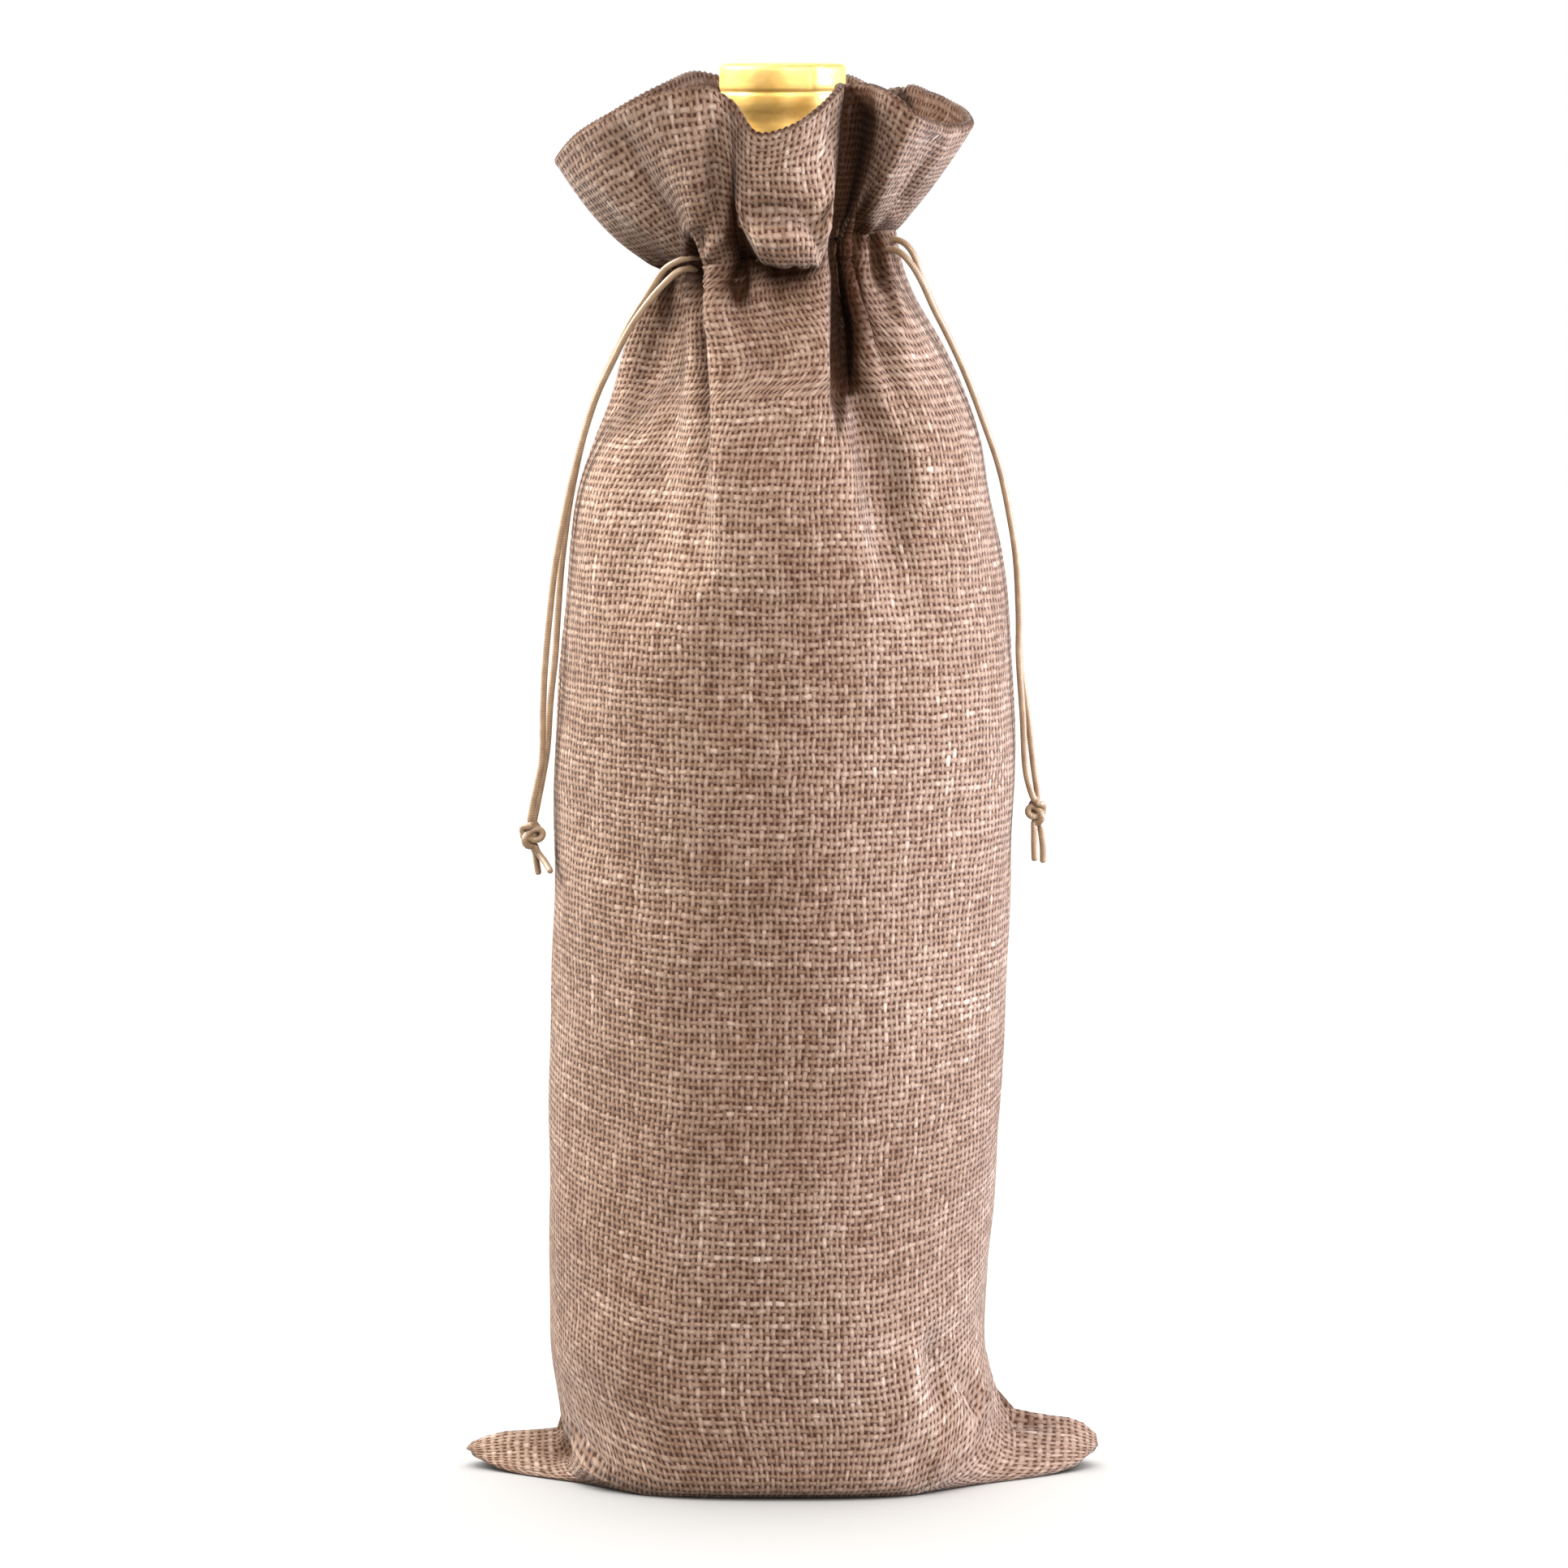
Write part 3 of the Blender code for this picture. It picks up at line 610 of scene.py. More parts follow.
def half_ring(along, side):
    """One half of the sack's section, from the left seam across the front, or back to it."""
    angle = np.radians(np.linspace(-90.0, 90.0, HALF_TURN_STEPS))
    facing = -1.0
    if side == "back":
        angle = angle[::-1]
        facing = 1.0
    floor_end = FLOOR_ROWS[-1] - CLOTH_TURN
    turn = np.clip((along - floor_end) / CLOTH_TURN, 0.0, math.pi / 2)
    middle_y = min(along, floor_end) + CLOTH_TURN * math.sin(turn)
    middle_z = CLOTH_TURN * (1 - math.cos(turn))
    middle_z += max(0.0, along - floor_end - CLOTH_TURN * math.pi / 2)
    on_floor = along < FLOOR_ROWS[-1]
    fullness = ear("fullness", along) if on_floor else section("fullness", middle_z)
    across = np.abs(np.sin(angle)) ** (2 / fullness)
    deep = np.abs(np.cos(angle)) ** (2 / fullness)
    lift = np.clip((1 - deep - LEAST_LIFT) / (1 - LEAST_LIFT), 0.0, 1.0)
    left = angle < 0
    if on_floor:
        # The bottom fold slants up off the floor to each tip.
        seam_up = np.where(left, ear("left_up", along), ear("right_up", along))
        x = np.where(left, -ear("left", along), ear("right", along)) * across
        slant = np.clip((np.abs(x) - EAR_ROOT) / (FLAT_WIDTH / 2 - EAR_ROOT), 0.0, 1.0) ** EAR_SLANT_POWER
        lift = lift + (EAR_SLANT * slant - lift) * (1 - ease(along / EAR_TIP)) * (slant > 0.0)
        z = middle_z + (seam_up - middle_z) * lift
        return np.stack([x, facing * middle_y * deep, z], axis=1)
    rise = np.where(left, section("rise_left", middle_z), section("rise_right", middle_z))
    z = middle_z + rise * lift
    x = np.where(left, -section("left", z), section("right", z)) * across
    z = z + GATHER_TILT * x * ease((middle_z - TILT_FOOT) / TILT_OVER)
    x = np.where(left, -section("left", z), section("right", z)) * across
    y = facing * section("depth", z) * deep
    # The troughs press straight in towards the neck, and stop short of it.
    reach = np.maximum(np.hypot(x, y), 1e-6)
    pressed = reach - trough_depths(x, z, side) * ease(deep / TROUGH_SEAM_FADE)
    pressed = np.where(z > NECK_CLEAR_FOOT, np.maximum(pressed, NECK_CLEAR_RADIUS), pressed)
    x, y = x * pressed / reach, y * pressed / reach
    if side == "front":
        at = {name: read_table(SLIT, SLIT_COLUMNS, name, z) for name in SLIT_COLUMNS[1:]}
        wall = np.where(x < at["middle"], *SLIT_WALLS)
        back = y + at["depth"] * (1 - ease((np.abs(x - at["middle"]) - at["half_width"]) / wall + 0.5))
        clear = np.sqrt(np.maximum(NECK_CLEAR_RADIUS**2 - x**2, 0.0))
        y = np.where(z > NECK_CLEAR_FOOT, np.minimum(back, np.maximum(-clear, y)), back)
    return np.stack([x, y, z], axis=1)


def half_row(along, side):
    """The half section read at each column. Low down, a column follows the fold of each ear."""
    points = half_ring(along, side)
    even = np.linspace(0.0, 1.0, HALF_COLUMNS + 1)
    far = lengths(points)
    corners = (far[HALF_TURN_STEPS // 4] / far[-1], far[3 * HALF_TURN_STEPS // 4] / far[-1])
    folded = np.interp(even, (0.0, EAR_SHARE, 1 - EAR_SHARE, 1.0), (0.0, *corners, 1.0))
    follow = 1 - ease((along - EARS_END) / EARS_FADE)
    return read_at(points, even + (folded - even) * follow)


def wall_along(z):
    """Distance from the bottom fold, up the middle, of a height on the wall."""
    return FLOOR_ROWS[-1] + CLOTH_TURN * (math.pi / 2 - 2) + z


def rim_halves():
    """The rim's front from the left tip to the right, and its back from right to left."""
    rim = RIM_FRONT + RIM_BACK
    curve = smooth_curve(rim, len(rim) * CURVE_STEPS + 1, closed=True)
    tip = (len(RIM_FRONT) - 1) * CURVE_STEPS
    return {"front": curve[: tip + 1], "back": curve[tip:]}


def heading_rows(gather, rim, side):
    """Rows of the heading, from the gather up to the rim."""
    dish = HEADING_DISH + LEFT_DISH * ease((-rim[:, 0] - 28.0) / 18.0)
    rows = []
    for up in HEADING_ROWS:
        row = gather + (rim - gather) * up
        row[:, 2] = gather[:, 2] + (rim[:, 2] - gather[:, 2]) * up * (1 - dish * (1 - up))
        if side == "front":
            front = rim[:, 1] < -LOBE_RIM_FORWARD
            from_side = np.minimum(rim[:, 0] - LOBE_SIDES[0], LOBE_SIDES[1] - rim[:, 0]) * front
            share = (rim[:, 0] - LOBE_SIDES[0]) / (LOBE_SIDES[1] - LOBE_SIDES[0])
            at = {name: read_table(LOBE, LOBE_COLUMNS, name, up) for name in LOBE_COLUMNS[1:]}
            fade = 1 - ease((up - LOBE_FREE) / (1 - LOBE_FREE))
            stands = ease(from_side / LOBE_WALL) * fade
            droops = ease(from_side / LOBE_ROUNDING) * fade
            forward = at["forward"] - LOBE_ARCH * (2 * share - 1) ** 2
            row[:, 0] += (at["left"] + (at["right"] - at["left"]) * share - row[:, 0]) * stands
            row[:, 1] += (-forward - row[:, 1]) * stands
            row[:, 2] += (at["height"] - row[:, 2]) * droops
        rows.append(row)
    return rows


def cloth_grid():
    """The outer face as rows of points, and how far up and across the flat cloth each one lies."""
    alongs = list(FLOOR_ROWS) + [wall_along(z) for z in WALL_ROWS]
    rim = rim_halves()
    halves = {}
    for side in ("front", "back"):
        rows = [half_row(along, side) for along in alongs]
        at_rim = read_at(rim[side], np.linspace(0.0, 1.0, HALF_COLUMNS + 1))
        halves[side] = np.array(rows + heading_rows(rows[-1], at_rim, side))
    grid = np.concatenate([halves["front"][:, :-1], halves["back"][:, :-1]], axis=1)
    up = np.array(alongs + [alongs[-1] + HEADING * share for share in HEADING_ROWS])
    across = np.arange(2 * HALF_COLUMNS) * FLAT_WIDTH / HALF_COLUMNS
    return grid, up, across


def grid_normals(grid):
    """Directions out of the cloth at each point of its grid."""
    around = np.roll(grid, -1, axis=1) - np.roll(grid, 1, axis=1)
    upward = np.gradient(grid, axis=0)
    normals = np.cross(around, upward)
    return normals / np.maximum(np.linalg.norm(normals, axis=2), 1e-9)[:, :, None]


def along_crease(points, start, end, wide):
    """What share of a crease each point has by its place along it, and by its distance from it."""
    run = np.array(end) - start
    share = np.clip((points - start) @ run / (run @ run), 0.0, 1.0)
    away = np.linalg.norm(points - start - share[:, :, None] * run, axis=2)
    return 1 - (2 * share - 1) ** 4, np.exp(-((away / wide) ** 2))


def crease_heights(grid, normals, wall_count):
    """How far each point stands out from the listed creases, which fade at both their ends."""
    heights = np.zeros(grid.shape[:2])
    rows = np.arange(len(grid))[:, None]
    columns = np.arange(2 * HALF_COLUMNS)[None, :]
    seen = grid[:, :, [0, 2]]
    for (part, side), creases in CREASES.items():
        facing = -normals[:, :, 1] if side == "front" else normals[:, :, 1]
        here = (rows < wall_count) if part == "wall" else (rows >= wall_count)
        here = here & ((columns < HALF_COLUMNS) if side == "front" else (columns >= HALF_COLUMNS))
        for x0, z0, x1, z1, wide, high in creases:
            lengthwise, sideways = along_crease(seen, (x0, z0), (x1, z1), wide)
            heights += here * (lengthwise * ease(facing / 0.4)) * high * sideways
    upper = ease((normals[:, :, 2] + 0.4) / 0.3)
    for *ends, wide, high in EAR_CREASES:
        lengthwise, sideways = along_crease(grid, ends[:3], ends[3:], wide)
        heights += upper * lengthwise * high * sideways
    return heights


def worked(grid, up, across, wall_count):
    """The grid with its small shapes: creases, puckers of the channel, seams and a slight waver."""
    heights = crease_heights(grid, grid_normals(grid), wall_count)
    gather_up = up[wall_count - 1]
    # The channel puckers on its cord in small round pleats with sharp creases between them.
    slide = across + 1.9 * np.sin(across / 6.1) + 2.6 * np.sin(across / 15.3 + 1.0)
    pleat = np.abs(np.sin(math.pi * slide / PUCKER_PITCH)) ** 0.6 - 0.7
    uneven = 0.75 + 0.35 * np.sin(across / 9.7 + 2.0)
    band = np.exp(-(((up - gather_up - PUCKER_MIDDLE) / PUCKER_HALF_HEIGHT) ** 4))
    heights += PUCKER * band[:, None] * (pleat * uneven)[None, :]
    # Each side seam is drawn in a little by its stitches, just round the corner on the front.
    width = 2 * FLAT_WIDTH
    for seam in (SEAM_INSET, width / 2 - SEAM_INSET):
        away = np.abs(across - seam)
        fade = ease((gather_up - 20.0 - up) / 30.0) * ease((up - 60.0) / 20.0)
        heights -= SEAM_DEPTH * fade[:, None] * np.exp(-((away / SEAM_WIDTH) ** 2))[None, :]
    # The rim stands up a thread at a time.
    threads = np.where(np.arange(2 * HALF_COLUMNS) % 2 == 0, 1.0, -1.0)
    stands = ease((up - up[-1] + RIM_THREAD_LENGTH) / RIM_THREAD_LENGTH)
    lift = RIM_THREAD * stands[:, None] * threads[None, :]
    # Hand-filled cloth is never quite even.
    above_floor = ease((grid[:, :, 2] - 4.0) / 20.0)
    turn = 2 * math.pi * across[None, :] / width
    waver = np.sin(3 * turn + up[:, None] / 21.0) * np.sin(up[:, None] / 33.0 + 2 * turn)
    waver = waver + 0.6 * np.sin(7 * turn - up[:, None] / 13.0) * np.sin(up[:, None] / 11.0 + 0.5)
    calm = 1 - 0.6 * ease((up - up[-1] + HEADING) / 10.0)[:, None]
    heights += WAVER * waver * above_floor * calm
    moved = grid + grid_normals(grid) * heights[:, :, None]
    moved[:, :, 2] += lift
    moved[:, :, 2] = np.maximum(moved[:, :, 2], 0.0)
    return moved


def shades(grid):
    """What share of the room each point can't see for the cloth round it. Every second column is
    tested, and those between are read from their neighbours."""
    columns = grid[:, ::2]
    count = columns.shape[1]
    skin = BVHTree.FromPolygons(columns.reshape(-1, 3).tolist(), ring_faces(len(columns), count))
    normals = grid_normals(grid)[:, ::2]
    around = np.roll(columns, -1, axis=1) - np.roll(columns, 1, axis=1)
    around /= np.maximum(np.linalg.norm(around, axis=2), 1e-9)[:, :, None]
    upward = np.cross(normals, around)
    starts = columns + normals * 0.3
    blocked = np.zeros(columns.shape[:2])
    turned = 0.7 * np.arange(len(columns))[:, None] + 1.9 * np.arange(count)[None, :]
    for ray in range(SHADE_RAYS):
        out = math.sqrt((ray + 0.5) / SHADE_RAYS)
        angle = ray * 2.39996 + turned
        sideways = np.cos(angle)[:, :, None] * around + np.sin(angle)[:, :, None] * upward
        directions = out * sideways + math.sqrt(1 - out * out) * normals
        hits = [
            skin.ray_cast(start, direction, SHADE_REACH)[0] is not None
            for start, direction in zip(starts.reshape(-1, 3).tolist(), directions.reshape(-1, 3).tolist())
        ]
        blocked += np.array(hits).reshape(blocked.shape) / SHADE_RAYS
    for _ in range(2):
        blocked = (np.roll(blocked, 1, axis=1) + 2 * blocked + np.roll(blocked, -1, axis=1)) / 4
        padded = np.concatenate([blocked[:1], blocked, blocked[-1:]])
        blocked = (padded[:-2] + 2 * blocked + padded[2:]) / 4
    blocked *= ease(np.arange(len(columns)) / 6.0)[:, None]
    full = np.zeros(grid.shape[:2])
    full[:, ::2] = blocked
    full[:, 1::2] = (blocked + np.roll(blocked, -1, axis=1)) / 2
    return full


def inner_rows(counts):
    """Which rows the inner face keeps: fewer than the outer one has, since little of it shows."""
    kept, start = [], 0
    for name, count in counts.items():
        kept.extend(range(start, start + count, INNER_STEPS[name]))
        start += count
    return kept


def lay_threads(tree, across, along, along_pitch, apart, first):
    """One set of parallel yarns. across and along count pitches. Gives the height of each yarn's face in
    millimetres, its tone with a painted highlight on its crowns, and the place on it, across in half widths
    and along in millimetres."""
    index = add(tree, "Math", (across,), operation="FLOOR")
    offset = add(tree, "Math", (across, index), operation="SUBTRACT")
    offset = add(tree, "Math", (offset, 0.5), operation="SUBTRACT")
    far = add(tree, "Math", (along, along_pitch), operation="MULTIPLY")
    own = add(tree, "Math", (index, 7.31, apart), operation="MULTIPLY_ADD")
    slow = add(tree, "Math", (far, 1 / TONE_LENGTH), operation="MULTIPLY")
    quick = add(tree, "Math", (far, 1 / SLUB_LENGTH), operation="MULTIPLY")
    slow = add(tree, "CombineXYZ", (own, slow))
    quick = add(tree, "CombineXYZ", (own, quick))
    yarn = add(tree, "TexNoise", {"Vector": slow, "Scale": 1.0, "Detail": 1.0}, noise_dimensions="2D")
    slub = add(tree, "TexNoise", {"Vector": quick, "Scale": 1.0, "Detail": 2.0}, noise_dimensions="2D")
    half = add(tree, "MapRange", (slub, 0.3, 0.7, THIN_HALF, THICK_HALF))
    side = add(tree, "Math", (offset, half), operation="DIVIDE")
    square = add(tree, "Math", (side, side), operation="MULTIPLY")
    inside = add(tree, "Math", (1.0, square), operation="SUBTRACT")
    shown = add(tree, "Math", (inside, 0.0), operation="GREATER_THAN")
    domed = add(tree, "Math", (inside, 0.0), operation="MAXIMUM")
    domed = add(tree, "Math", (domed, 0.5), operation="POWER")
    # The yarn rises over one neighbour and dives under the next, and the yarn beside it the other way.
    turn = add(tree, "Math", (index, math.pi), operation="MULTIPLY")
    parity = add(tree, "Math", (turn,), operation="COSINE")
    turn = add(tree, "Math", (along, math.pi), operation="MULTIPLY")
    swing = add(tree, "Math", (turn,), operation="SINE")
    wave = add(tree, "Math", (parity, swing), operation="MULTIPLY")
    face = add(tree, "Math", (domed, YARN_DOME, HOLE), operation="MULTIPLY_ADD")
    face = add(tree, "Math", (wave, first * YARN_CRIMP, face), operation="MULTIPLY_ADD")
    height = add(tree, "Math", (face, shown), operation="MULTIPLY")
    height = add(tree, "Math", (height, HOLE), operation="SUBTRACT")
    tone = add(tree, "Math", (yarn, 0.38), operation="MULTIPLY")
    tone = add(tree, "Math", (slub, 0.44, tone), operation="MULTIPLY_ADD")
    # Painted highlight: each yarn's crown is painted lighter than its flanks, and lighter where it rises over
    # its neighbour than where it dives.
    tone = add(tree, "Math", (domed, 0.34, tone), operation="MULTIPLY_ADD")
    tone = add(tree, "Math", (wave, first * 0.06, tone), operation="MULTIPLY_ADD")
    return height, tone, side, far


def burlap_finish():
    """Jute yarn in plain weave, matt and a little hairy: each yarn its own tone of cream or brown-mauve,
    thick and thin along its length, with the hole wherever four yarns meet painted dark as shade."""
    made, tree, shader = new_material("plain-woven jute")
    flat = add(tree, "UVMap", uv_map="Weave")
    stray = add(tree, "TexNoise", {"Vector": flat, "Scale": 0.14, "Detail": 1.0}, noise_dimensions="2D")
    centred = add(tree, "VectorMath", (stray.outputs["Color"], (0.5, 0.5, 0.5)), operation="SUBTRACT")
    scaled = add(tree, "VectorMath", {0: centred, "Scale": STRAY}, operation="SCALE")
    place = add(tree, "VectorMath", (flat, scaled), operation="ADD")
    pitch = (1 / WARP_PITCH, 1 / WEFT_PITCH, 0.0)
    count = add(tree, "SeparateXYZ", (add(tree, "VectorMath", (place, pitch), operation="MULTIPLY"),))
    right, up = count.outputs["X"], count.outputs["Y"]
    warp = lay_threads(tree, right, up, WEFT_PITCH, 0.0, 1.0)
    weft = lay_threads(tree, up, right, WARP_PITCH, 431.7, -1.0)
    over = add(tree, "Math", (weft[0], warp[0]), operation="GREATER_THAN")
    height, tone, side, far = [add(tree, "Mix", {0: over, 2: a, 3: b}) for a, b in zip(warp, weft)]
    # Fibres lie at a slant on the twisted yarn.
    slant = add(tree, "Math", (far, 1.6), operation="MULTIPLY")
    slanted = add(tree, "Math", (side, 2.4, slant), operation="MULTIPLY_ADD")
    lie = add(tree, "CombineXYZ", (slanted, slant, tone))
    fibre = add(tree, "TexNoise", {"Vector": lie, "Scale": 1.0, "Detail": 2.0})
    patch = add(tree, "TexNoise", {"Vector": flat, "Scale": 0.022, "Detail": 2.0}, noise_dimensions="2D")
    tone = add(tree, "Math", (fibre, 0.35, tone), operation="MULTIPLY_ADD")
    tone = add(tree, "Math", (patch, 0.2, tone), operation="MULTIPLY_ADD")
    tone = add(tree, "MapRange", (tone, 0.62, 1.44, 0.0, 1.0))
    ramp = add(tree, "ValToRGB", {"Fac": tone})
    ramp_stops(ramp, (
        (0.0, colour("#41281a")), (0.35, colour("#694e3d")), (0.65, colour("#897262")),
        (1.0, colour("#bfad9f")),
    ))
    # Painted shade: the holes, and each yarn's edges where it dives into them, are painted dark brown for the
    # shade seen through them.
    solid = add(tree, "MapRange", (height, -0.2, 0.12, 0.0, 1.0))
    body = add(tree, "Mix", {0: solid, 6: colour("#371d10"), 7: ramp}, data_type="RGBA")
    # The stitches of each side seam draw a dark dot between every two wefts.
    beside = add(tree, "SeparateXYZ", (flat,))
    mirrored = add(tree, "Math", (beside.outputs["X"], FLAT_WIDTH / 2), operation="SUBTRACT")
    mirrored = add(tree, "Math", (mirrored,), operation="ABSOLUTE")
    from_seam = add(tree, "Math", (FLAT_WIDTH / 2 - SEAM_INSET, mirrored), operation="SUBTRACT")
    from_seam = add(tree, "Math", (from_seam,), operation="ABSOLUTE")
    stitched = add(tree, "MapRange", (from_seam, 0.35, 0.8, 1.0, 0.0))
    beat = add(tree, "Math", (up, 2 * math.pi), operation="MULTIPLY")
    beat = add(tree, "Math", (beat,), operation="COSINE")
    beat = add(tree, "Math", (beat, 0.3, 0.5), operation="MULTIPLY_ADD")
    starts = add(tree, "MapRange", (beside.outputs["Y"], 60.0, 85.0, 0.0, 1.0))
    stops = add(tree, "MapRange", (beside.outputs["Y"], 270.0, 295.0, 1.0, 0.0))
    for share in (beat, starts, stops):
        stitched = add(tree, "Math", (stitched, share), operation="MULTIPLY")
    body = add(tree, "Mix", {0: stitched, 6: body.outputs[2], 7: colour("#2a1208")}, data_type="RGBA")
    # Less light reaches down between the folds, so the cloth is darker and duller there.
    blocked = add(tree, "Attribute", attribute_name="hidden")
    hidden = add(tree, "MapRange", (blocked.outputs["Fac"], 0.02, 0.46, 0.0, 0.93))
    shaded = add(tree, "Mix", {0: hidden, 6: body.outputs[2], 7: colour(DEEPEST)}, data_type="RGBA")
    lowest = add(tree, "Math", (height, -0.25), operation="MAXIMUM")
    rough = add(tree, "Math", (fibre, 0.16, lowest), operation="MULTIPLY_ADD")
    bump = add(tree, "Bump", {"Height": rough, "Strength": 0.85, "Distance": MM})
    open_to_light = add(tree, "Math", (1.0, hidden), operation="SUBTRACT")
    hairy = add(tree, "Math", (open_to_light, 0.12), operation="MULTIPLY")
    glossy = add(tree, "Math", (open_to_light, 0.1), operation="MULTIPLY")
    connect(tree, shader, {
        "Base Color": shaded.outputs[2], "Normal": bump, "Roughness": 0.9, "Sheen Weight": hairy,
        "Sheen Roughness": 0.5, "Specular IOR Level": glossy,
    })
    return made


def add_sack():
    """The cloth as one closed skin: its outer face, the turned-over rim and its inner face."""
    grid, up, across = cloth_grid()
    wall_count = len(FLOOR_ROWS) + len(WALL_ROWS)
    outer = worked(grid, up, across, wall_count)
    normals = grid_normals(outer)
    hem = ease((up - up[-1] + HEM_LENGTH) / HEM_LENGTH)
    thick = np.repeat((CLOTH + (HEM - CLOTH) * hem)[:, None], outer.shape[1], axis=1)
    # The two layers of an ear lie on each other, so each has less room there.
    flat = 1 - ease((up - EARS_END) / EARS_FADE)[:, None]
    thick *= 1 - flat * (1 - np.clip(np.abs(outer[:, :, 1]) / EAR_THIN_WITHIN, EAR_THINNEST, 1.0))
    kept = inner_rows({
        "floor": len(FLOOR_ROWS), "ear": len(EAR_ROWS), "body": len(BODY_ROWS),
        "neck": len(NECK_ROWS), "heading": len(HEADING_ROWS),
    })
    inner = (outer - normals * thick[:, :, None])[kept]
    inner[:, :, 2] = np.maximum(inner[:, :, 2], CLOTH * 0.8)
    # The rim turns over in a half round.
    fold = []
    over = outer[-1] - outer[-2]
    over /= np.linalg.norm(over, axis=1)[:, None]
    for turn in HEM_TURNS:
        angle = math.radians(turn)
        back = (1 - math.cos(angle)) * HEM / 2
        fold.append(outer[-1] - normals[-1] * back + over * math.sin(angle) * HEM / 2)
    last = (outer - normals * thick[:, :, None])[-1]
    rows = np.concatenate([outer, np.array(fold), last[None], inner[::-1]])
    fold_up = up[-1] + HEM_STEP * np.arange(1, len(HEM_TURNS) + 1)
    rows_up = np.concatenate([up, fold_up, [up[-1]], up[kept][::-1]])
    count = 2 * HALF_COLUMNS
    faces = ring_faces(len(rows), count)
    # The bottom fold closes the outer face, and the inner one above it.
    inside = (len(rows) - 1) * count
    for j in range(HALF_COLUMNS):
        corners = (j, -j % count, -(j + 1) % count, j + 1)
        faces.append(tuple(dict.fromkeys(corners)))
        faces.append(tuple(reversed([inside + k for k in dict.fromkeys(corners)])))
    values = [(across[j], far) for far in rows_up for j in range(count)]
    made = add_mesh("burlap_sack", rows.reshape(-1, 3), faces, {"Weave": values}, burlap_finish())
    depth = np.full(rows.shape[:2], INSIDE_SHADE, np.float32)
    depth[: len(outer)] = shades(outer)
    made.data.attributes.new("hidden", "FLOAT", "POINT").data.foreach_set("value", depth.ravel())
    return made


sack = add_sack()
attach(sack, "root")
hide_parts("sack")


# The capsule. Gold foil is shrunk over the bottle's lip and neck. A pressed line under the lip marks
# off its tear strip, whose end overlaps at the right and stands up a little.
FOIL = 0.5
FOIL_SIDES = 180
FOIL_PROFILE = (
    (256, 14.17), (260, 14), (266, 13.75), (270, 13.55), (276, 13.44), (282, 13.33),
    (288, 13.22), (294, 13.11), (296.5, 13.06), (299, 13.02), (301, 12.98), (303, 12.95),
    (304.5, 12.95), (306, 12.95), (307.4, 13.35),
    (308.6, 13.78), (309.8, 13.95), (310.7, 13.98), (311.3, 13.95), (311.6, 13.74), (311.9, 13.74),
    (312.2, 13.97), (312.8, 14.05), (313.8, 14.05), (314.8, 14.05), (315.8, 14.05), (316.5, 14.03),
    (317.1, 13.95), (317.55, 13.7), (317.82, 13.2), (317.9, 12.2), (317.86, 9), (317.8, 4),
)
STRIP_END = (28.0, 84.0)
STRIP_HEIGHTS = (312.3, 317.4)
STRIP_THICK = 0.28
# The deeper crease: degrees round from the front at its top, degrees it turns and how wide it is, its
# depth, and the height it fades in below.
CREASE_ANGLE = -38.0
CREASE_SLANT = 3.3
CREASE_TOP = 308.0
CREASE_WIDE = 9.0
CREASE_DEEP = 0.5
CREASE_FADE = (307.5, 3.0)


def close_selected_edge():
    """Draws the selected open edge in to its middle, and turns every face outward."""
    bpy.ops.mesh.extrude_region_move()
    bpy.ops.mesh.merge(type="CENTER")
    bpy.ops.mesh.select_all(action="SELECT")
    bpy.ops.mesh.normals_make_consistent(inside=False)
    bpy.ops.object.mode_set(mode="OBJECT")


def turned_shape(name, sides, profile):
    """A ring drawn up through (height, radius) pairs by extruding and scaling, and closed at its top."""
    height, radius = profile[0]
    bpy.ops.mesh.primitive_circle_add(vertices=sides, radius=radius * MM, location=(0, 0, height * MM))
    made = bpy.context.active_object
    made.name = name
    bpy.ops.object.transform_apply(location=True)
    bpy.ops.object.mode_set(mode="EDIT")
    bpy.ops.mesh.select_all(action="SELECT")
    for next_height, next_radius in profile[1:]:
        rise = {"value": (0.0, 0.0, (next_height - height) * MM)}
        bpy.ops.mesh.extrude_region_move(TRANSFORM_OT_translate=rise)
        bpy.ops.transform.resize(value=(next_radius / radius, next_radius / radius, 1.0))
        height, radius = next_height, next_radius
    close_selected_edge()
    made.data.shade_smooth()
    return made


def gold_foil_finish():
    """Lacquered aluminium foil, drawn and rolled: satin gold, finely brushed round the neck."""
    made, tree, shader = new_material("satin gold foil")
    place = add(tree, "TexCoord")
    rings = add(tree, "Mapping", {"Vector": place.outputs["Object"], "Scale": (150.0, 150.0, 1100.0)})
    brushed = add(tree, "TexNoise", {"Vector": rings, "Scale": 1.0, "Detail": 3.0})
    soft = add(tree, "TexNoise", {"Vector": place.outputs["Object"], "Scale": 210.0, "Detail": 2.0})
    ramp = add(tree, "ValToRGB", {"Fac": soft})
    ramp_stops(ramp, ((0.3, colour("#c69a4c")), (0.7, colour("#d6b068"))))
    gloss = add(tree, "MapRange", (brushed, 0.3, 0.7, 0.48, 0.6))
    both = add(tree, "Math", (brushed, 0.05, soft),
               operation="MULTIPLY_ADD")
    bump = add(tree, "Bump", {"Height": both, "Strength": 0.5, "Distance": 0.00025})
    connect(tree, shader, {"Base Color": ramp, "Roughness": gloss, "Normal": bump, "Metallic": 0.75})
    return made


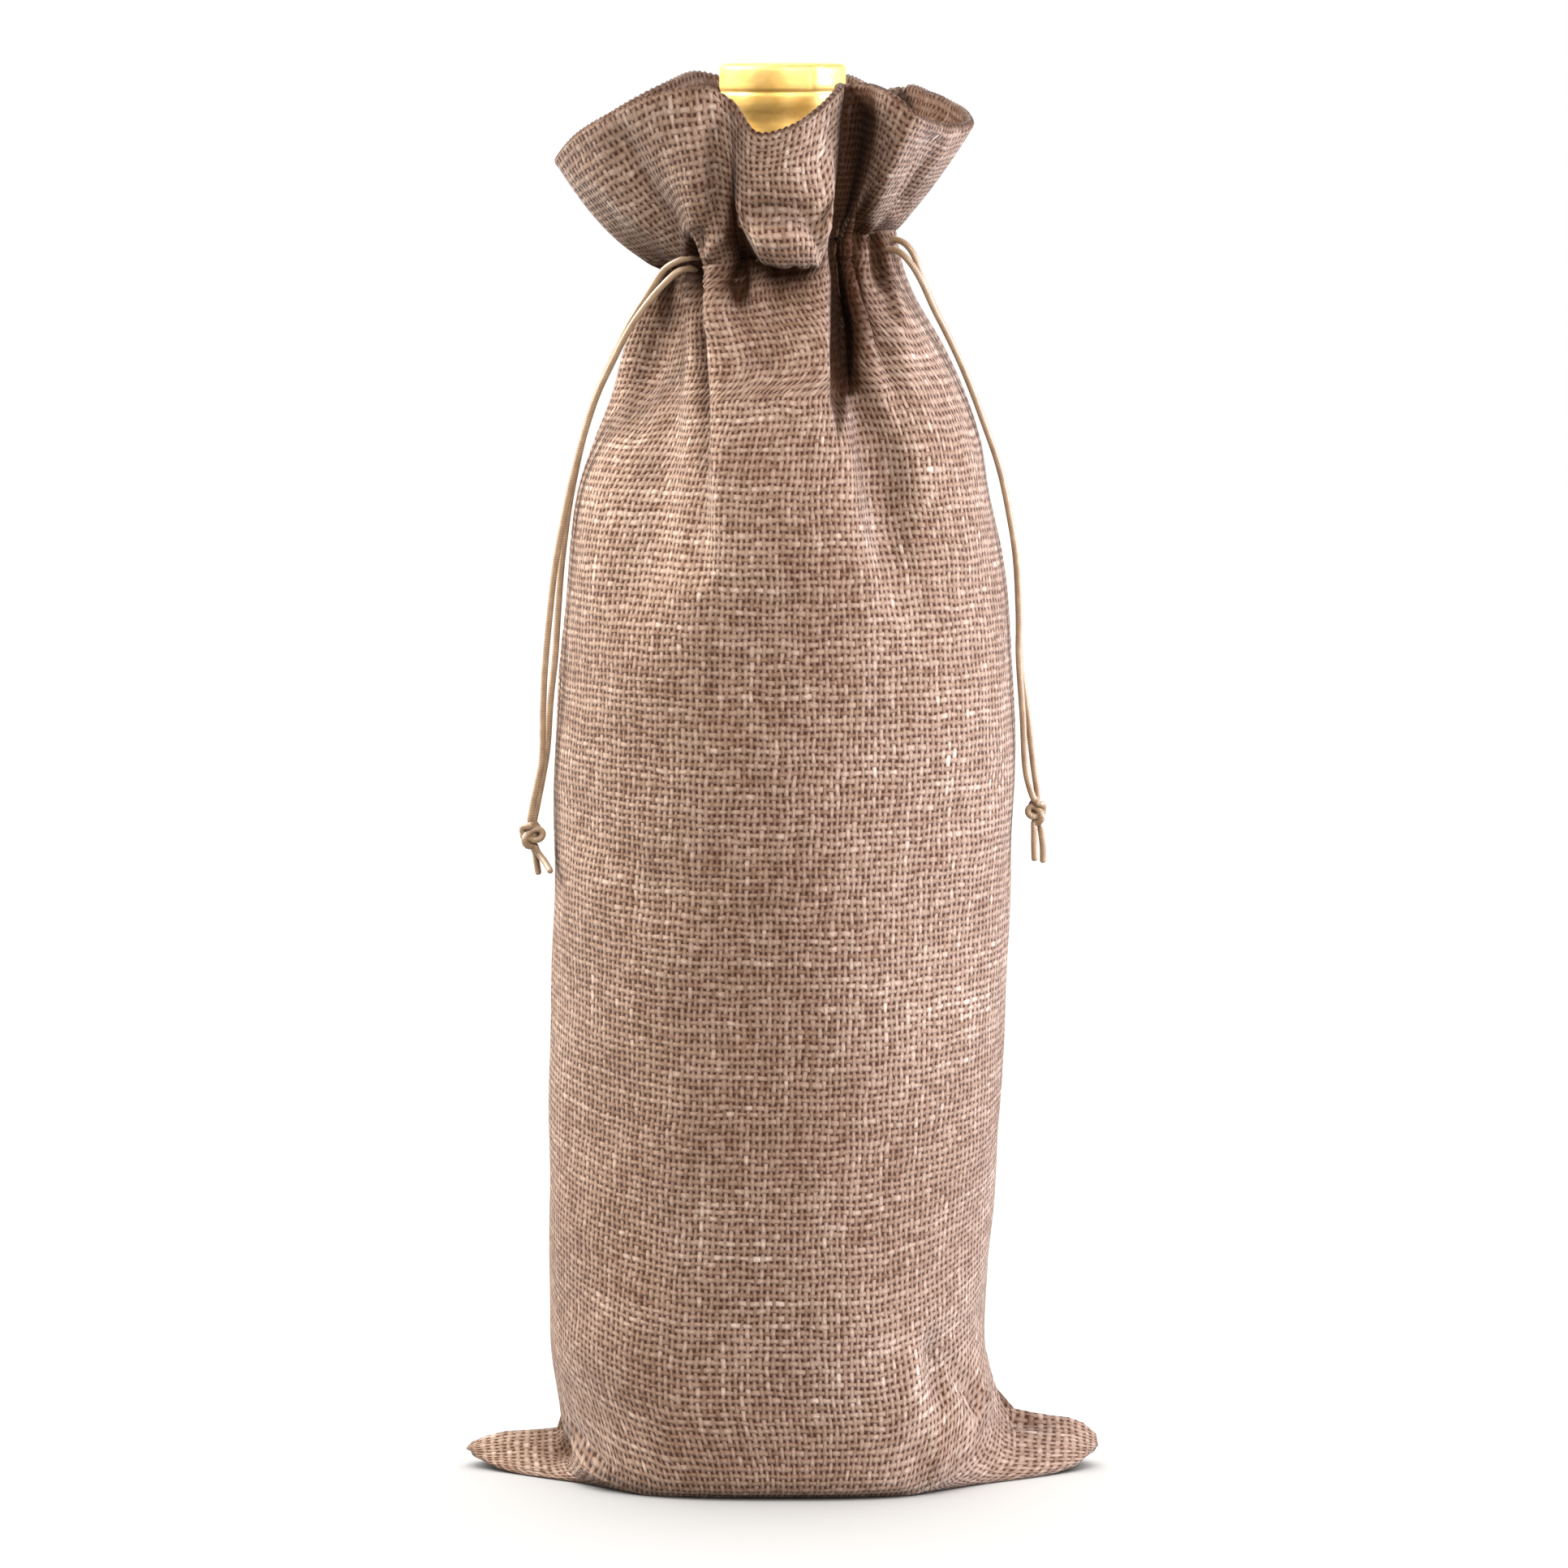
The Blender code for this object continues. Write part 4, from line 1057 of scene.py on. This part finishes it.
def crease_foil(foil):
    """Presses the foil's few soft flutes, and raises the overlapped end of its tear strip."""
    for point in foil.data.vertices:
        x, y, z = point.co / MM
        radius = math.hypot(x, y)
        if radius < 6.0:
            continue
        angle = math.degrees(math.atan2(x, -y))
        flutes = 0.07 * math.sin(math.radians(5 * angle + 40)) + 0.05 * math.sin(math.radians(9 * angle))
        moved = flutes * float(ease((310.0 - z) / 12.0))
        # One deeper crease runs down to the right from under the lip, at the left of the front.
        from_crease = (angle - CREASE_ANGLE - CREASE_SLANT * (CREASE_TOP - z)) / CREASE_WIDE
        below = float(ease((CREASE_FADE[0] - z) / CREASE_FADE[1]))
        moved -= CREASE_DEEP * math.exp(-from_crease * from_crease) * below
        moved -= 0.02 * math.sin(math.radians(13 * angle + 2 * z))
        lift = min(angle - STRIP_END[0], STRIP_END[1] - angle) / 3.0
        lift = float(ease(lift) * ease((z - STRIP_HEIGHTS[0]) / 0.4) * ease((STRIP_HEIGHTS[1] - z) / 0.4 + 1))
        moved += STRIP_THICK * lift
        if lift > 0.5 and z > STRIP_HEIGHTS[1] - 0.5 and angle < STRIP_END[0] + 12.0:
            point.co.z += 0.35 * MM
        point.co.x += x / radius * moved * MM
        point.co.y += y / radius * moved * MM


bpy.ops.object.select_all(action="DESELECT")
foil = turned_shape("foil_capsule", FOIL_SIDES, FOIL_PROFILE)
crease_foil(foil)
wall = foil.modifiers.new("wall", "SOLIDIFY")
wall.thickness = FOIL * MM
wall.offset = -1.0
bpy.ops.object.modifier_apply(modifier=wall.name)
foil.data.materials.append(gold_foil_finish())
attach(foil, "root")
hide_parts("capsule")


# The bottle. Blown dark green glass of the plain high-shouldered kind, 75 mm across. It fills the
# sack up to the gather, and its neck goes up into the capsule.
BOTTLE_SIDES = 96
BOTTLE_PROFILE = (
    (1.55, 30.4), (2.1, 33.2), (3.6, 35.4), (5.6, 36.9), (8.55, 37.4), (60, 37.4), (125, 37.4),
    (190, 37.4), (196, 37.1), (203, 36), (208.5, 34.2), (213, 31.6), (217, 28.5), (221, 25),
    (225, 21.8), (229, 19), (233.5, 16.7), (238, 15.2), (244, 14.2), (250, 13.6),
    (260, 13.1), (270, 12.7), (288, 12.35), (306, 12), (307.6, 12.6), (308.6, 13.2),
    (312, 13.2), (315.4, 13.2), (316, 12.8),
)


def dark_glass_finish():
    """Bottle glass: smooth dark green, so deep in colour that little light comes through it."""
    made, tree, shader = new_material("dark green bottle glass")
    place = add(tree, "TexCoord")
    streaks = add(tree, "Mapping", {"Vector": place.outputs["Object"], "Scale": (90.0, 90.0, 14.0)})
    drawn = add(tree, "TexNoise", {"Vector": streaks, "Scale": 1.0, "Detail": 2.0})
    ramp = add(tree, "ValToRGB", {"Fac": drawn})
    ramp_stops(ramp, ((0.2, colour("#16240f")), (0.8, colour("#22361a"))))
    bump = add(tree, "Bump", {"Height": drawn, "Strength": 0.2, "Distance": 0.0003})
    connect(tree, shader, {"Base Color": ramp, "Normal": bump, "Roughness": 0.06, "IOR": 1.52})
    return made


bottle = turned_shape("bottle_glass", BOTTLE_SIDES, BOTTLE_PROFILE)
bpy.ops.object.mode_set(mode="EDIT")
bpy.ops.mesh.select_all(action="DESELECT")
bpy.ops.mesh.select_mode(type="EDGE")
bpy.ops.mesh.select_non_manifold()
close_selected_edge()
bottle.data.shade_smooth()
bottle.data.materials.append(dark_glass_finish())
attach(bottle, "root")
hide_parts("bottle")


# The floor is white paper. The light is that of a plain white studio, brightest from behind and from
# high at both sides, so that the sack's edges are bright and its middle a little darker.
FLOOR_SIDE = 6.0

bpy.ops.mesh.primitive_plane_add(size=FLOOR_SIDE, location=(0.0, 0.0, 0.0))
floor = bpy.context.active_object
floor.name = "floor"
floor_material, floor_tree, floor_shader = new_material("white paper")
connect(floor_tree, floor_shader, {"Base Color": colour("#dddcda"), "Roughness": 0.9})
floor.data.materials.append(floor_material)

# Columns: place, size across and up, watts, colour.
SOFT_BOXES = (
    ((-0.88, 0.14, 0.85), (0.5, 0.5), 52.0, "#fcffff"),
    ((1.00, -0.12, 0.46), (0.5, 0.5), 42.0, "#e2ecff"),
    ((0.25, -1.05, 0.85), (0.5, 0.5), 22.0, "#ffffff"),
)
AIMED_AT = Vector((0.0, 0.0, 0.16))
OVERHEAD_PLACE = (0.0, 0.5, 3.0)
OVERHEAD_SIDE = 8.0
OVERHEAD_WATTS = 260.0
# The boxes light the sack alone, and a wide even light overhead is for the paper alone.
not_floor = bpy.data.collections.new("not lit by the soft boxes")
not_floor.objects.link(floor)
not_floor.collection_objects[0].light_linking.link_state = "EXCLUDE"
paper_only = bpy.data.collections.new("lit from overhead")
paper_only.objects.link(floor)
overhead = bpy.data.lights.new("overhead", "AREA")
overhead.size = OVERHEAD_SIDE
overhead.energy = OVERHEAD_WATTS
overhead_object = bpy.data.objects.new("overhead", overhead)
overhead_object.location = OVERHEAD_PLACE
overhead_object.light_linking.receiver_collection = paper_only
bpy.context.collection.objects.link(overhead_object)
for place, (wide, tall), watts, tint in SOFT_BOXES:
    lamp = bpy.data.lights.new("soft box", "AREA")
    lamp.shape = "RECTANGLE"
    lamp.size, lamp.size_y = wide, tall
    lamp.energy = watts
    lamp.color = colour(tint)[:3]
    lamp_object = bpy.data.objects.new("soft box", lamp)
    lamp_object.location = place
    lamp_object.rotation_euler = (AIMED_AT - Vector(place)).to_track_quat("-Z", "Y").to_euler()
    lamp_object.light_linking.receiver_collection = not_floor
    bpy.context.collection.objects.link(lamp_object)

# The studio's walls are white behind the sack and greyer towards the front, and its ceiling is bright.
WALLS_GREY = 0.3
WALLS_WHITE = 1.0
CEILING = 0.5
world = bpy.data.worlds.new("studio")
world.use_nodes = True
studio = world.node_tree
towards = add(studio, "SeparateXYZ", (add(studio, "TexCoord").outputs["Generated"],))
walls = (towards.outputs["Y"], -0.1, 0.75, WALLS_GREY, WALLS_WHITE)
walls = add(studio, "MapRange", walls, interpolation_type="SMOOTHSTEP")
ceiling = add(studio, "MapRange", (towards.outputs["Z"], 0.3, 0.9, 0.0, CEILING))
light = add(studio, "Math", (walls, ceiling), operation="ADD")
connect(studio, studio.nodes["Background"], {"Color": (1.0, 1.0, 1.0, 1.0), "Strength": light})
bpy.context.scene.world = world
bpy.context.scene.view_settings.view_transform = "Standard"
